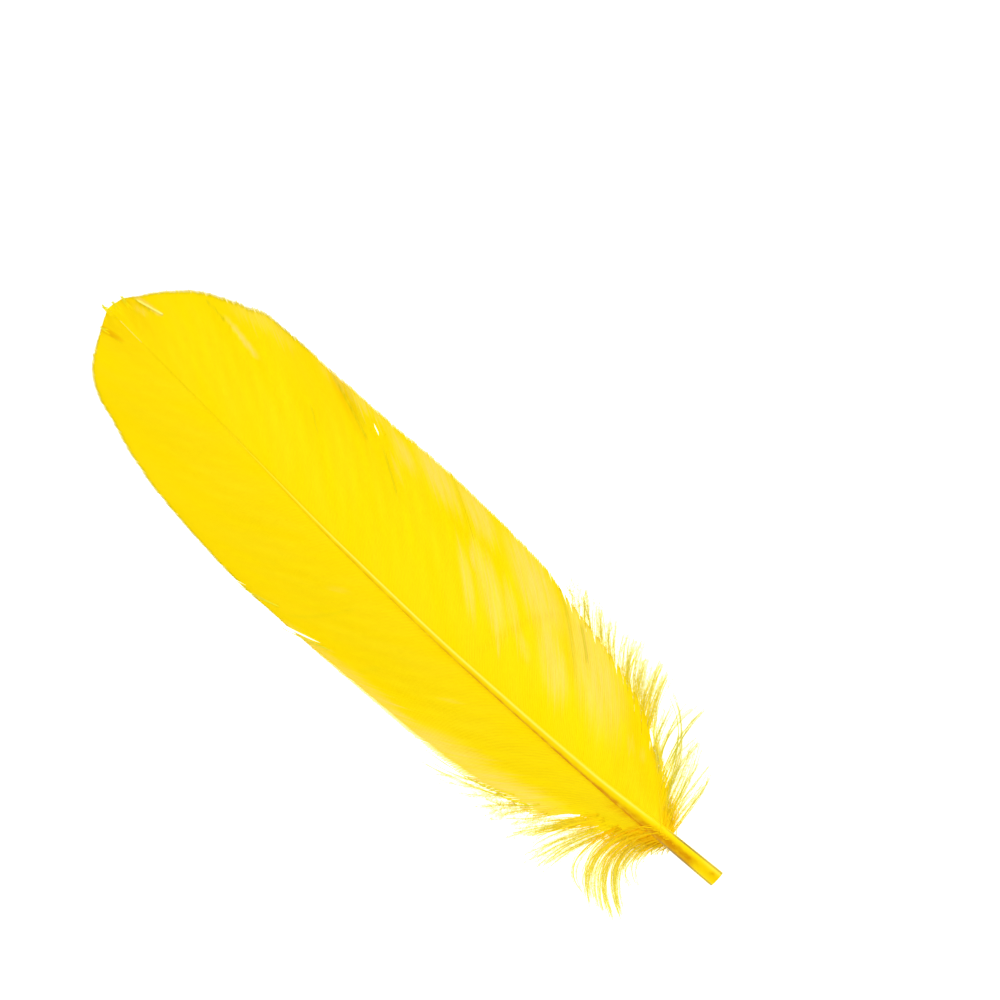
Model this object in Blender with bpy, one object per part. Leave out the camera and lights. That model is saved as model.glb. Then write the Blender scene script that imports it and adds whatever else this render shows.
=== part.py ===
"""A goose quill feather, dyed yellow, lying on a table with its rounded back up.

The shaft, the two vanes and the downy locks grew as one piece, so they are one solid.
Plan places are (across, station) pairs in millimetres: across is measured from the middle of
the quill's cut end, plus to the wide vane's side, and station runs from that cut end to the tip.
In the finished part +Y runs from the quill to the tip, +Z is up, and z = 0 is the table.
"""
import math
import random

import bmesh
import bpy
from mathutils import Vector

MM = 0.001

# Driving sizes of the whole feather
LENGTH = 168.0
ARCH = 3.0                  # how high the middle of the shaft's underside stands over the table
VANE_START = 12.5           # station where the lowest barbs leave the shaft
VANE_END = 166.4            # station of the last barb's root
SEED = 11

# The shaft: a hollow quill that thins into a solid rib and runs out inside the vane
SHAFT_SIDES = 12
SHAFT_STEP = 7.0
SHAFT_END = 157.0
SHAFT_END_SIZE = 0.25
QUILL_BORE = 2.4
QUILL_BORE_DEPTH = 14.0
QUILL_BORE_TIP = 0.8
SHAFT_MIDDLE = [(0, 0), (10, -0.6), (30, -1.9), (50, -2.7), (75, -3.2), (100, -2.9),
                (125, -1.8), (150, -0.7), (168, 0)]
SHAFT_WIDTH = [(0, 3.6), (10, 3.3), (30, 2.6), (55, 2.1), (90, 1.7), (120, 1.1), (157, 0.4)]
SHAFT_DEPTH = [(0, 3.6), (10, 3.3), (30, 2.8), (60, 2.3), (90, 1.8), (120, 1.25), (157, 0.35)]

# How deep the vanes' upper face lies below the shaft's top, by station
VANE_INSET = [(12, 1.1), (30, 0.55), (60, 0.35), (120, 0.2), (168, 0.0)]

# The vanes' outer edges, (station, across)
LEFT_EDGE = [(12.5, -2.6), (14, -4.8), (20, -9.2), (28, -11.6), (33.5, -15.2), (42, -17.2),
             (50, -19.2), (62, -20.4), (90, -21.6), (108, -22.1), (130, -20.6), (142, -18.4),
             (151, -15.7), (157, -13.6), (161, -10.6), (164.4, -5.2), (166.9, 0)]
RIGHT_EDGE = [(12.5, 1.2), (14, 3.2), (20, 7.2), (28, 12), (40, 16.6), (50, 18.7), (61, 20.5),
              (68, 21.9), (93, 22.6), (112, 21.7), (141, 20.9), (147, 18.9), (155.5, 14.8),
              (161, 9.8), (164.2, 5.6), (166, 3.2), (166.9, 0)]

# Where the barb that leaves the shaft at one station meets the edge, (root station, edge station)
LEFT_SWEEP = [(12.5, 14), (16, 19), (20, 26.5), (24, 34), (30, 47), (40, 64), (55, 86),
              (75, 110), (95, 129.5), (115, 147), (130, 157), (145, 162.7), (157, 165.4),
              (166.4, 166.8)]
RIGHT_SWEEP = [(12.5, 14), (15, 18.5), (18, 25), (21, 31.5), (25, 39), (30, 48.5), (40, 66),
               (55, 88), (75, 111), (95, 131), (115, 148), (130, 157), (145, 163), (157, 165.6),
               (166.4, 166.8)]

# How a barb bends, by root station: its first angle over its chord's, and where its bend lies
LEFT_FIRST_ANGLE = [(12, 1.05), (24, 1.15), (45, 1.5), (70, 1.55)]
RIGHT_FIRST_ANGLE = [(12, 1.05), (24, 1.2), (45, 1.35)]
LEFT_BEND_PLACE = [(12, 0.5), (24, 0.52), (45, 0.66), (70, 0.68)]
RIGHT_BEND_PLACE = [(12, 0.5), (24, 0.56), (45, 0.6)]

# The vanes: a thin web in groups of barbs, each with a low ridge along its middle
BARB_GROUPS = 30
COLUMNS = 7
GROUP_CROWDING = 0.86       # under 1 makes the groups narrower near the quill
WEB_AT_SHAFT = 0.75
WEB_AT_EDGE = 0.45
GROUP_RIDGE = 0.14
GROUP_POINT = 0.25          # how far a group's middle passes the edge line
FLAT_BORDER = 3.0           # the outer strip of each vane that lies on the table
FLAT_SHARE = 0.3            # the same strip at most, as a share of a narrow vane

# Splits between groups, (root station, where along the barb it starts, width at the edge)
LEFT_SPLITS = [(24.8, 0.55, 1.1), (66.0, 0.86, 0.5), (79.0, 0.88, 0.5)]
RIGHT_SPLITS = [(21.0, 0.72, 1.2), (143.5, 0.5, 0.9)]

# Downy locks as (root, bend, tip), all plan places
TUFT_LOCKS = [
    ((-2.6, 14.6), (-11.5, 20.0), (-17.6, 9.6)),
    ((-3.0, 15.4), (-13.0, 21.2), (-19.2, 8.2)),
    ((-3.2, 16.2), (-14.0, 22.4), (-20.2, 9.6)),
    ((-3.4, 17.2), (-14.6, 23.4), (-20.6, 12.2)),
    ((-3.8, 18.2), (-14.6, 24.2), (-21.6, 14.6)),
    ((-4.6, 19.4), (-14.2, 24.6), (-20.2, 15.6)),
    ((-2.8, 14.0), (-12.6, 18.0), (-13.3, 10.0)),
    ((-2.6, 13.4), (-9.6, 16.4), (-12.0, 10.4)),
    ((-6.0, 21.4), (-19.4, 26.8), (-20.6, 17.2)),
]
FAN_LOCKS = [
    ((-6.4, 21.4), (-14.6, 26.0), (-21.8, 27.2)),
    ((-6.6, 22.2), (-15.0, 27.0), (-23.6, 28.4)),
    ((-6.8, 23.0), (-15.4, 28.0), (-24.3, 30.4)),
    ((-7.0, 23.8), (-14.8, 29.2), (-22.0, 31.4)),
    ((-7.2, 24.6), (-14.4, 30.4), (-20.4, 33.6)),
    ((-8.2, 26.2), (-15.0, 31.8), (-24.2, 37.0)),
    ((-8.8, 27.2), (-15.4, 33.0), (-20.6, 38.0)),
]
LOOSE_LEFT_BARBS = [
    ((-13.4, 36.0), (-18.4, 39.6), (-19.9, 44.6)),
    ((-14.8, 37.2), (-20.6, 48.6), (-23.3, 59.4)),
    ((-15.4, 41.0), (-20.2, 50.4), (-22.0, 57.6)),
    ((-19.6, 86.0), (-22.4, 94.0), (-23.2, 99.2)),
    ((-20.2, 101.0), (-22.6, 107.6), (-23.0, 112.6)),
]
LOW_RIGHT_LOCKS = [
    ((-0.2, 14.0), (9.0, 13.8), (15.2, 15.8)),
    ((0.4, 15.0), (8.0, 16.6), (15.8, 16.6)),
    ((1.0, 16.2), (9.5, 16.8), (17.4, 20.2)),
    ((1.6, 17.4), (10.5, 22.4), (18.8, 20.9)),
    ((2.2, 18.6), (17.0, 21.4), (21.0, 32.2)),
    ((3.2, 19.8), (12.6, 25.0), (23.4, 25.2)),
    ((4.0, 21.4), (13.4, 28.8), (22.4, 27.0)),
    ((5.6, 23.6), (13.4, 29.4), (19.2, 30.2)),
]
HIGH_RIGHT_LOCKS = [
    ((9.8, 29.4), (15.6, 33.0), (24.0, 36.4)),
    ((10.6, 31.4), (16.6, 36.2), (24.4, 38.2)),
    ((11.6, 33.6), (16.4, 38.4), (22.6, 40.6)),
    ((13.0, 37.4), (18.0, 42.0), (24.3, 43.6)),
]

# The fringe above them, one lock at each step of the right edge
FRINGE_FIRST = 42.0
FRINGE_LAST = 60.0
FRINGE_STEP = 2.25
FRINGE_ROOT_BACK = (3.4, 3.4)
FRINGE_BEND_OUT = (1.6, 1.6)
FRINGE_LIFT = (2.6, 4.4)
FRINGE_TIP_ACROSS = (23.2, 24.4)

# The single barb that stands out at the very tip
TIP_BARB = ((-0.3, 163.4), (-0.6, 166.0), (-0.4, 168.0))

# Size of a lock
LOCK_STEPS = 5
LOCK_WIDTH = 1.3
LOOSE_WIDTH = 0.6
LOCK_THICKNESS = 0.34
LOCK_TIP_SHARE = 0.22
LOCK_FLOOR = 0.32           # lowest height of a lock's middle line over the table
LOCK_TIP_LIFT = (0.35, 1.3)
LOCK_ROUNDING = 0.7


def smooth(points, at):
    """Value at one place of the smooth curve through (place, value) points, with no overshoot."""
    places = [place for place, _ in points]
    values = [value for _, value in points]
    if at <= places[0]:
        return values[0]
    if at >= places[-1]:
        return values[-1]
    slopes = [(values[i + 1] - values[i]) / (places[i + 1] - places[i]) for i in range(len(points) - 1)]
    tangents = [slopes[0]]
    for before, after in zip(slopes, slopes[1:]):
        tangents.append(0.0 if before * after <= 0 else 2 * before * after / (before + after))
    tangents.append(slopes[-1])
    i = max(k for k in range(len(points) - 1) if places[k] <= at)
    span = places[i + 1] - places[i]
    t = (at - places[i]) / span
    return ((2 * t**3 - 3 * t**2 + 1) * values[i] + (t**3 - 2 * t**2 + t) * span * tangents[i]
            + (3 * t**2 - 2 * t**3) * values[i + 1] + (t**3 - t**2) * span * tangents[i + 1])


def quadratic(start, bend, end, t):
    """Point at t on the curve from start to end that leans towards bend."""
    return tuple((1 - t)**2 * a + 2 * t * (1 - t) * b + t**2 * c for a, b, c in zip(start, bend, end))


def placed(across, station, height):
    """A plan place and a height in millimetres, as a point of the part in metres."""
    return Vector((across * MM, (station - LENGTH / 2) * MM, height * MM))


def shaft_floor(station):
    """Height of the shaft's underside over the table."""
    return ARCH * math.sin(math.pi * station / LENGTH)


def edge_of(side, station):
    """Across value of the vane's edge; side is -1 for the left vane and 1 for the right."""
    return smooth(LEFT_EDGE if side < 0 else RIGHT_EDGE, station)


def barb_point(side, root, t):
    """Plan place at t, from 0 at the shaft to 1 at the edge, on the barb of one root station."""
    start = (smooth(SHAFT_MIDDLE, root), root)
    edge_station = smooth(LEFT_SWEEP if side < 0 else RIGHT_SWEEP, root)
    end = (edge_of(side, edge_station), edge_station)
    reach = abs(end[0] - start[0])
    chord_angle = math.atan2(reach, end[1] - start[1])
    first_angle = chord_angle * smooth(LEFT_FIRST_ANGLE if side < 0 else RIGHT_FIRST_ANGLE, root)
    bend_reach = reach * smooth(LEFT_BEND_PLACE if side < 0 else RIGHT_BEND_PLACE, root)
    bend = (start[0] + side * bend_reach, root + bend_reach / math.tan(first_angle))
    return quadratic(start, bend, end, t)


def web_share(across, station):
    """How far out on the vane a plan place is: 0 at the shaft, 1 where the flat border starts."""
    middle = smooth(SHAFT_MIDDLE, station)
    side = -1 if across < middle else 1
    width = abs(edge_of(side, station) - middle)
    border = min(FLAT_BORDER, FLAT_SHARE * width)
    return min(1.0, abs(across - middle) / max(width - border, MM))


def web_floor(across, station):
    """Height of the vane's underside, which falls from the shaft to the flat border."""
    root_floor = (shaft_floor(station) + smooth(SHAFT_DEPTH, station)
                  - smooth(VANE_INSET, station) - WEB_AT_SHAFT)
    share = web_share(across, station)
    if share >= 1:
        return 0.0
    return max(root_floor, 0.0) * (1 + math.cos(math.pi * share)) / 2


def web_thickness(across, station):
    """Thickness of the vane, which thins from the shaft to the border."""
    return WEB_AT_SHAFT + (WEB_AT_EDGE - WEB_AT_SHAFT) * web_share(across, station)


def remove_objects():
    """Empty the scene."""
    for item in list(bpy.data.objects):
        bpy.data.objects.remove(item, do_unlink=True)


def add_object(name, shape):
    """Make an object of a bmesh whose faces all point outwards."""
    bmesh.ops.recalc_face_normals(shape, faces=shape.faces)
    mesh = bpy.data.meshes.new(name)
    shape.to_mesh(mesh)
    shape.free()
    item = bpy.data.objects.new(name, mesh)
    bpy.context.collection.objects.link(item)
    return item


def add_tube(name, rings):
    """Make one closed tube of rings of points, all of one count, capped at both ends."""
    shape = bmesh.new()
    loops = [[shape.verts.new(point) for point in ring] for ring in rings]
    for low, high in zip(loops, loops[1:]):
        for k in range(len(low)):
            after = (k + 1) % len(low)
            shape.faces.new((low[k], low[after], high[after], high[k]))
    shape.faces.new(loops[0])
    shape.faces.new(loops[-1])
    return add_object(name, shape)


def shaft_ring(station, width, depth, middle_height):
    """Points of one oval section of the shaft."""
    across = smooth(SHAFT_MIDDLE, station)
    turns = [2 * math.pi * (k + 0.5) / SHAFT_SIDES for k in range(SHAFT_SIDES)]
    return [placed(across + width / 2 * math.cos(turn), station, middle_height + depth / 2 * math.sin(turn))
            for turn in turns]


def make_shaft():
    """The hollow quill and the rib it runs into, from the bore's blind end round to the far tip."""
    mouth_height = SHAFT_DEPTH[0][1] / 2 * math.cos(math.pi / SHAFT_SIDES)
    bore_rise = shaft_floor(QUILL_BORE_DEPTH)
    rings = [shaft_ring(QUILL_BORE_DEPTH + QUILL_BORE_TIP, QUILL_BORE_TIP, QUILL_BORE_TIP,
                        mouth_height + bore_rise),
             shaft_ring(QUILL_BORE_DEPTH, QUILL_BORE, QUILL_BORE, mouth_height + bore_rise),
             shaft_ring(QUILL_BORE_DEPTH / 2, QUILL_BORE, QUILL_BORE,
                        mouth_height + shaft_floor(QUILL_BORE_DEPTH / 2)),
             shaft_ring(0, QUILL_BORE, QUILL_BORE, mouth_height)]
    for k in range(math.ceil(SHAFT_END / SHAFT_STEP) + 1):
        station = min(k * SHAFT_STEP, SHAFT_END)
        width = smooth(SHAFT_WIDTH, station)
        depth = smooth(SHAFT_DEPTH, station)
        middle_height = shaft_floor(station) + depth / 2 * math.cos(math.pi / SHAFT_SIDES)
        rings.append(shaft_ring(station, width, depth, middle_height))
    last_height = shaft_floor(SHAFT_END) + smooth(SHAFT_DEPTH, SHAFT_END) / 2
    rings.append(shaft_ring(SHAFT_END + 1, SHAFT_END_SIZE, SHAFT_END_SIZE, last_height))
    return add_tube("shaft", rings)


def group_roots():
    """Root stations of the lines between groups, moved so that one lies at every split."""
    roots = [VANE_START + (VANE_END - VANE_START) * (k / BARB_GROUPS)**(1 / GROUP_CROWDING)
             for k in range(BARB_GROUPS + 1)]
    for station, _, _ in LEFT_SPLITS + RIGHT_SPLITS:
        nearest = min(range(1, BARB_GROUPS), key=lambda k: abs(roots[k] - station))
        roots[nearest] = station
    return roots


def split_width(side, root, t):
    """Width of the split between two groups at t along their line, or 0 where they are joined."""
    for station, start, width in (LEFT_SPLITS if side < 0 else RIGHT_SPLITS):
        if station == root and t > start:
            return width * (t - start) / (1 - start)
    return 0.0


def web_pair(shape, side, root, t, shift, ridge):
    """Upper and lower corner of the web at t along a barb, shifted across the barb."""
    across, station = barb_point(side, root, t)
    before = barb_point(side, root, max(t - 0.05, 0.0))
    after = barb_point(side, root, min(t + 0.05, 1.0))
    run = Vector((after[0] - before[0], after[1] - before[1])).normalized()
    across += run.y * shift * -side
    station += run.x * shift * side
    if ridge and t == 1:
        across += run.x * GROUP_POINT
        station += run.y * GROUP_POINT
    low = web_floor(across, station)
    top = low + web_thickness(across, station) + (GROUP_RIDGE if ridge and t > 0 else 0.0)
    return shape.verts.new(placed(across, station, top)), shape.verts.new(placed(across, station, low))


def web_rows(shape, root):
    """The two faces of one line between groups: the same corners but where the line is split."""
    lower = []
    upper = []
    for j in range(-COLUMNS, COLUMNS + 1):
        side = -1 if j < 0 else 1
        t = abs(j) / COLUMNS
        gap = split_width(side, root, t)
        if gap:
            lower.append(web_pair(shape, side, root, t, -gap / 2, False))
            upper.append(web_pair(shape, side, root, t, gap / 2, False))
        else:
            pair = web_pair(shape, side, root, t, 0.0, False)
            lower.append(pair)
            upper.append(pair)
    return lower, upper


def make_web():
    """Both vanes as one closed web, crossing under the shaft's top."""
    shape = bmesh.new()
    roots = group_roots()
    lines = [web_rows(shape, root) for root in roots]
    ridges = [[web_pair(shape, -1 if j < 0 else 1, (low + high) / 2, abs(j) / COLUMNS, 0.0, True)
               for j in range(-COLUMNS, COLUMNS + 1)] for low, high in zip(roots, roots[1:])]
    strips = []
    for k in range(BARB_GROUPS):
        strips += [(lines[k][1], ridges[k]), (ridges[k], lines[k + 1][0])]
    for near, far in strips:
        for j in range(2 * COLUMNS):
            shape.faces.new((near[j][0], near[j + 1][0], far[j + 1][0], far[j][0]))
            shape.faces.new((near[j][1], far[j][1], far[j + 1][1], near[j + 1][1]))
        shape.faces.new((near[0][0], far[0][0], far[0][1], near[0][1]))
        shape.faces.new((near[-1][0], near[-1][1], far[-1][1], far[-1][0]))
    for k, (lower, upper) in enumerate(lines):
        for j in range(2 * COLUMNS):
            is_joined = lower[j] is upper[j] and lower[j + 1] is upper[j + 1]
            if k < BARB_GROUPS and (k == 0 or not is_joined):
                shape.faces.new((upper[j][0], upper[j][1], upper[j + 1][1], upper[j + 1][0]))
            if k > 0 and (k == BARB_GROUPS or not is_joined):
                shape.faces.new((lower[j][0], lower[j + 1][0], lower[j + 1][1], lower[j][1]))
    bmesh.ops.triangulate(shape, faces=shape.faces)
    return add_object("feather", shape)


def make_lock(root, bend, tip, width, tip_lift):
    """One tapering four-sided lock from inside the web or the shaft out to its tip."""
    root_height = max(web_floor(*root) + web_thickness(*root) / 2, LOCK_FLOOR)
    middle_height = LOCK_FLOOR + LOCK_ROUNDING * (root_height - LOCK_FLOOR)
    start = (*root, root_height)
    turn = (*bend, middle_height)
    end = (*tip, LOCK_FLOOR + tip_lift)
    rings = []
    for k in range(LOCK_STEPS + 1):
        t = k / LOCK_STEPS
        here = quadratic(start, turn, end, t)
        ahead = quadratic(start, turn, end, min(t + 0.05, 1.0))
        behind = quadratic(start, turn, end, max(t - 0.05, 0.0))
        run = Vector((ahead[0] - behind[0], ahead[1] - behind[1])).normalized()
        share = 1 + (LOCK_TIP_SHARE - 1) * t
        half = width / 2 * share
        thick = LOCK_THICKNESS / 2 * (1 + share) / 2
        rings.append([placed(here[0] - run.y * half, here[1] + run.x * half, here[2]),
                      placed(here[0], here[1], here[2] - thick),
                      placed(here[0] + run.y * half, here[1] - run.x * half, here[2]),
                      placed(here[0], here[1], here[2] + thick)])
    return add_tube("lock", rings)


def fringe_locks():
    """Root, bend and tip of each lock of the fringe along the right vane's lower edge."""
    locks = []
    station = FRINGE_FIRST
    while station <= FRINGE_LAST:
        edge = edge_of(1, station)
        root = (edge - FRINGE_ROOT_BACK[0], station - FRINGE_ROOT_BACK[1])
        bend = (edge + FRINGE_BEND_OUT[0], station + FRINGE_BEND_OUT[1])
        tip = (random.uniform(*FRINGE_TIP_ACROSS), station + random.uniform(*FRINGE_LIFT))
        locks.append((root, bend, tip))
        station += FRINGE_STEP
    return locks


def make_locks():
    """All downy locks and loose barbs."""
    locks = TUFT_LOCKS + FAN_LOCKS + LOW_RIGHT_LOCKS + HIGH_RIGHT_LOCKS + fringe_locks()
    made = [make_lock(*lock, LOCK_WIDTH, random.uniform(*LOCK_TIP_LIFT)) for lock in locks]
    made += [make_lock(*barb, LOOSE_WIDTH, random.uniform(*LOCK_TIP_LIFT)) for barb in LOOSE_LEFT_BARBS]
    made.append(make_lock(*TIP_BARB, LOOSE_WIDTH, 0.0))
    return made


def fuse(body, others):
    """Join other closed shapes and one body in a single solid."""
    group = bpy.data.collections.new("others")
    for other in others:
        group.objects.link(other)
    union = body.modifiers.new("union", "BOOLEAN")
    union.operation = "UNION"
    union.solver = "EXACT"
    union.operand_type = "COLLECTION"
    union.collection = group
    body.data = bpy.data.meshes.new_from_object(
        body.evaluated_get(bpy.context.evaluated_depsgraph_get()))
    body.modifiers.clear()
    for other in others:
        bpy.data.objects.remove(other, do_unlink=True)
    bpy.data.collections.remove(group)


def make_material():
    """The dyed keratin of the whole feather."""
    material = bpy.data.materials.new("dyed_feather")
    material.use_nodes = True
    surface = material.node_tree.nodes["Principled BSDF"]
    surface.inputs["Base Color"].default_value = (1.0, 0.74, 0.01, 1.0)
    surface.inputs["Roughness"].default_value = 0.6
    surface.inputs["Metallic"].default_value = 0.0
    return material


def main():
    random.seed(SEED)
    remove_objects()
    feather = make_web()
    fuse(feather, [make_shaft()] + make_locks())
    feather.name = "feather"
    feather.data.name = "feather"
    feather.data.materials.clear()
    feather.data.materials.append(make_material())


main()
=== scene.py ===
"""The looks of a goose quill feather, dyed yellow and lying on a white table.

Plan places are (across, station) pairs in millimetres: across is measured from the middle of
the quill's cut end, plus to the wide vane's side, and station runs from that cut end to the tip.
In the scene +Y runs from the quill to the tip, +Z is up, and z = 0 is the table.
A barb is named by its root, the station where it leaves the shaft. A place on it is named by
its share, from 0 at the shaft to 1 at the vane's edge.
"""
import math
from collections import namedtuple
from types import SimpleNamespace

import bmesh
import bpy
import numpy
from bpy.props import FloatProperty, FloatVectorProperty, PointerProperty
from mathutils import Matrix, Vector


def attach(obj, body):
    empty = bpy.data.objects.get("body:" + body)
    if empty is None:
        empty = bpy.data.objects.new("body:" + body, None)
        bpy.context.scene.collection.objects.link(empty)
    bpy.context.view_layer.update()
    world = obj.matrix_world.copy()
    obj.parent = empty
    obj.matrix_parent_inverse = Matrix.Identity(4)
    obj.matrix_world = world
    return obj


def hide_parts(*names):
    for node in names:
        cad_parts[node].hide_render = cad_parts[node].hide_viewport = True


bl_info = {
    "name": "Goose quill feather",
    "version": (1, 0, 0),
    "blender": (4, 5, 0),
    "location": "3D View > Sidebar > Feather",
    "description": "Models a goose feather dyed yellow, barb by barb, on a white table",
    "category": "Object",
}

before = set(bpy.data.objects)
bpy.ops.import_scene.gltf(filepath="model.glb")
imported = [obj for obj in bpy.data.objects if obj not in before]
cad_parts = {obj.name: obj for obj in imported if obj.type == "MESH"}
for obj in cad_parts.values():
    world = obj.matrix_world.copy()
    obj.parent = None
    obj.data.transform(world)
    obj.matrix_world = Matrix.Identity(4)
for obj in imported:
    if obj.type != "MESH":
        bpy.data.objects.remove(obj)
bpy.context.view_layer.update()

MM = 0.001
TINY = 0.001                # keeps a division from having nothing under it
SEED = 11

# Driving sizes of the whole feather
LENGTH = 168.0
ARCH = 3.0                  # how high the middle of the shaft's underside stands over the table
VANE_START = 12.5           # root of the lowest barb
VANE_END = 166.4            # root of the last barb

# The shaft: a hollow quill that thins into a solid rib and runs out inside the vane
SHAFT_SIDES = 40
SHAFT_STEP = 0.8
SHAFT_END = 157.0
SHAFT_END_SIZE = 0.2
BORE_DEPTH = 14.0
BORE_TIP = 0.8
BORE_RINGS = 4
LIP_ROUNDING = 0.12
GROOVE_START = 18.0
GROOVE_RUN_IN = 10.0
GROOVE_SIDE = 0.5           # flank where the groove ends
GROOVE_DEPTH = 0.3          # depth of the groove under the rib, as a share of the rib's depth
SHAFT_CREASE = math.radians(50)     # least angle of an edge that stays sharp
SHAFT_MIDDLE = [(0, 0), (10, -0.6), (30, -1.9), (50, -2.7), (75, -3.2), (100, -2.9),
                (125, -1.8), (150, -0.7), (168, 0)]
SHAFT_WIDTH = [(0, 3.6), (10, 3.3), (30, 2.6), (55, 2.1), (90, 1.7), (120, 1.1), (157, 0.4)]
SHAFT_DEPTH = [(0, 3.6), (10, 3.3), (30, 2.8), (60, 2.3), (90, 1.8), (120, 1.25), (157, 0.35)]

# Tones of the shaft. A run or a fall is between two stations, and a flank is -1 at the shaft's left
# side and 1 at its right. A line is (flank, how much further right it lies on the low shaft, reach
# in millimetres, how much further it reaches on the low shaft)
VANE_COVER = (10.0, 16.0)   # where the vanes close round the quill
LOW_SHAFT = (17.0, 34.0)    # where the low shaft turns into the rib
# Painted highlight: a pale line along the rib's right flank, on the lamp's side
HIGHLIGHT_LINE = (0.4, 0.22, 0.2, 0.0)
HIGHLIGHT_LINE_STRENGTH = 0.95
HIGHLIGHT_LINE_RUN = ((15.0, 24.0), (80.0, 140.0))
LIP_PALENESS = 0.35
LIP_FLANK = (0.62, 0.16)
LIP_FALL = (2.0, 6.0)
# Painted shade: an amber line along the rib's left flank, away from the lamp
SHADE_LINE = (-0.8, 0.15, 0.35, 0.4)
SHADE_LINE_LOSS = 0.4
SHADE_LINE_FALL = (34.0, 70.0)
RIGHT_AMBER = 0.35
RIGHT_SIDE = (0.7, 0.9)
# Painted shade: a weak amber over the rib's left side
LEFT_SHADE = 0.15
LEFT_SIDE = (0.0, 0.5)
AMBER_FALL = (85.0, 150.0)
ROOT_AMBER_RUN = ((3.5, 8.0), (10.0, 20.0))
ROOT_AMBER_SIDE = (-0.6, 0.5)
QUILL_AMBER = 0.3
QUILL_AMBER_FLANK = (0.05, 0.45)
# Amber spots of the quill: (strength, station, its reach, flank, its reach)
QUILL_SPOTS = [(1.1, 9.2, 1.7, -0.5, 0.45), (0.7, 1.72, 0.5, 0.15, 0.2)]
# Painted shade: dark rims along the quill's sides, where its translucent wall looks dark from above
RIM_FLANK = ((0.72, 0.84), (0.94, 0.99))
RIM_LEAST = 0.7
RIM_RISE = (3.0, 8.0)

# How deep the vanes' upper face lies below the shaft's top, by station
VANE_INSET = [(12, 1.1), (30, 0.5), (60, 0.28), (100, 0.12), (130, 0.0), (168, -0.05)]

# The vanes' outer edges, (station, across), for the left (-1) and the right (1) vane
VANE_EDGE = {
    -1: [(12.5, -2.6), (14, -4.8), (20, -9.2), (28, -11.6), (33.5, -15.2), (42, -17.2),
         (50, -19.2), (62, -20.4), (90, -21.6), (108, -22.1), (130, -20.6), (142, -18.4),
         (151, -15.7), (157, -13.6), (161, -10.6), (164.4, -5.2), (166.9, 0)],
    1: [(12.5, 1.2), (14, 3.2), (20, 7.2), (28, 12), (40, 16.6), (50, 18.7), (61, 20.5),
        (68, 21.9), (93, 22.6), (112, 21.7), (141, 20.9), (147, 18.9), (155.5, 14.8),
        (161, 9.8), (164.2, 5.6), (166, 3.2), (166.9, 0)],
}

# Where a barb meets the edge, (root, edge station)
BARB_SWEEP = {
    -1: [(12.5, 14), (16, 19), (20, 26.5), (24, 34), (30, 47), (40, 64), (55, 86), (75, 110),
         (95, 129.5), (115, 147), (130, 157), (145, 162.7), (157, 165.4), (166.4, 166.8)],
    1: [(12.5, 14), (15, 18.5), (18, 25), (21, 31.5), (25, 39), (30, 48.5), (40, 66),
        (55, 88), (75, 111), (95, 131), (115, 148), (130, 157), (145, 163), (157, 165.6),
        (166.4, 166.8)],
}

# How a barb bends, by root: its first angle over its chord's, and where its bend lies
FIRST_ANGLE = {-1: [(12, 1.05), (24, 1.15), (45, 1.5), (70, 1.55)],
               1: [(12, 1.05), (24, 1.2), (45, 1.35)]}
BEND_PLACE = {-1: [(12, 0.5), (24, 0.52), (45, 0.66), (70, 0.68)],
              1: [(12, 0.5), (24, 0.56), (45, 0.6)]}

# Section of one barb: (share of its half width, height in millimetres), the tip's side first
BARB_SECTION = [(1.0, 0.0), (0.24, 0.01), (0.0, 0.04), (-0.24, 0.01), (-1.0, 0.0),
                (-0.2, -0.05), (0.0, -0.17), (0.2, -0.05)]
BARB_STEPS = 29
BARB_CREASE = math.radians(110)     # least angle of an edge that stays sharp
BARB_OVERLAP = 1.3          # width of a barb over the room that it has between its neighbours
BARB_WIDEST = 0.62
BARB_TILT = 0.025           # how much higher a barb's tip side lies than its quill side
BARB_POINT = 0.4            # width of a barb's end over its full width
KEEL_AT_EDGE = 0.3          # depth of a barb's keel at the edge over that at the shaft
ROOT_UNEVENNESS = 0.02
LENGTH_UNEVENNESS = 0.003
ROOT_NUDGE = 0.05           # steps over which the barbs' room and way are measured
SHARE_NUDGE = 0.0125
EDGE_PASSING = 0.012        # how far the barbs pass the edge line, as a share of their length
EDGE_SHADE = 0.6         # how dark the painted shade along the edge is
EDGE_REACH = 0.025
EDGE_SOFTNESS = 3.0         # how many times shorter the full painted edge shade is than its whole reach
EDGE_FADE = {-1: (58.0, 74.0), 1: (86.0, 100.0)}    # roots between which the painted edge shade sets in

# Share from which a barb narrows to its loose end, by root
FRAY_START = {-1: [(12.5, 0.3), (18, 0.4), (24, 0.62), (30, 0.82), (42, 0.9), (60, 0.975)],
              1: [(12.5, 0.3), (18, 0.5), (23, 0.84), (30, 0.96), (60, 0.985)]}

# The web that the barbs lie in, which falls from the shaft to a border flat on the table
WEB_AT_SHAFT = 0.75
WEB_AT_EDGE = 0.45
FLAT_BORDER = 3.0
FLAT_SHARE = 0.3
TOP_AT_SHAFT = 0.95         # height of the barbs in the web's thickness, as a share of it
TOP_AT_EDGE = 0.38
LOWEST = 0.01               # least height of any barb over the table
RIPPLE_HEIGHT = 0.05

# Waves of the ripple: (turn for each millimetre of root, half turns for each share, height)
RIPPLE_WAVES = [(0.31, 2.2, 1.0), (0.83, -3.1, 0.6), (1.7, 4.0, 0.35)]

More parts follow.
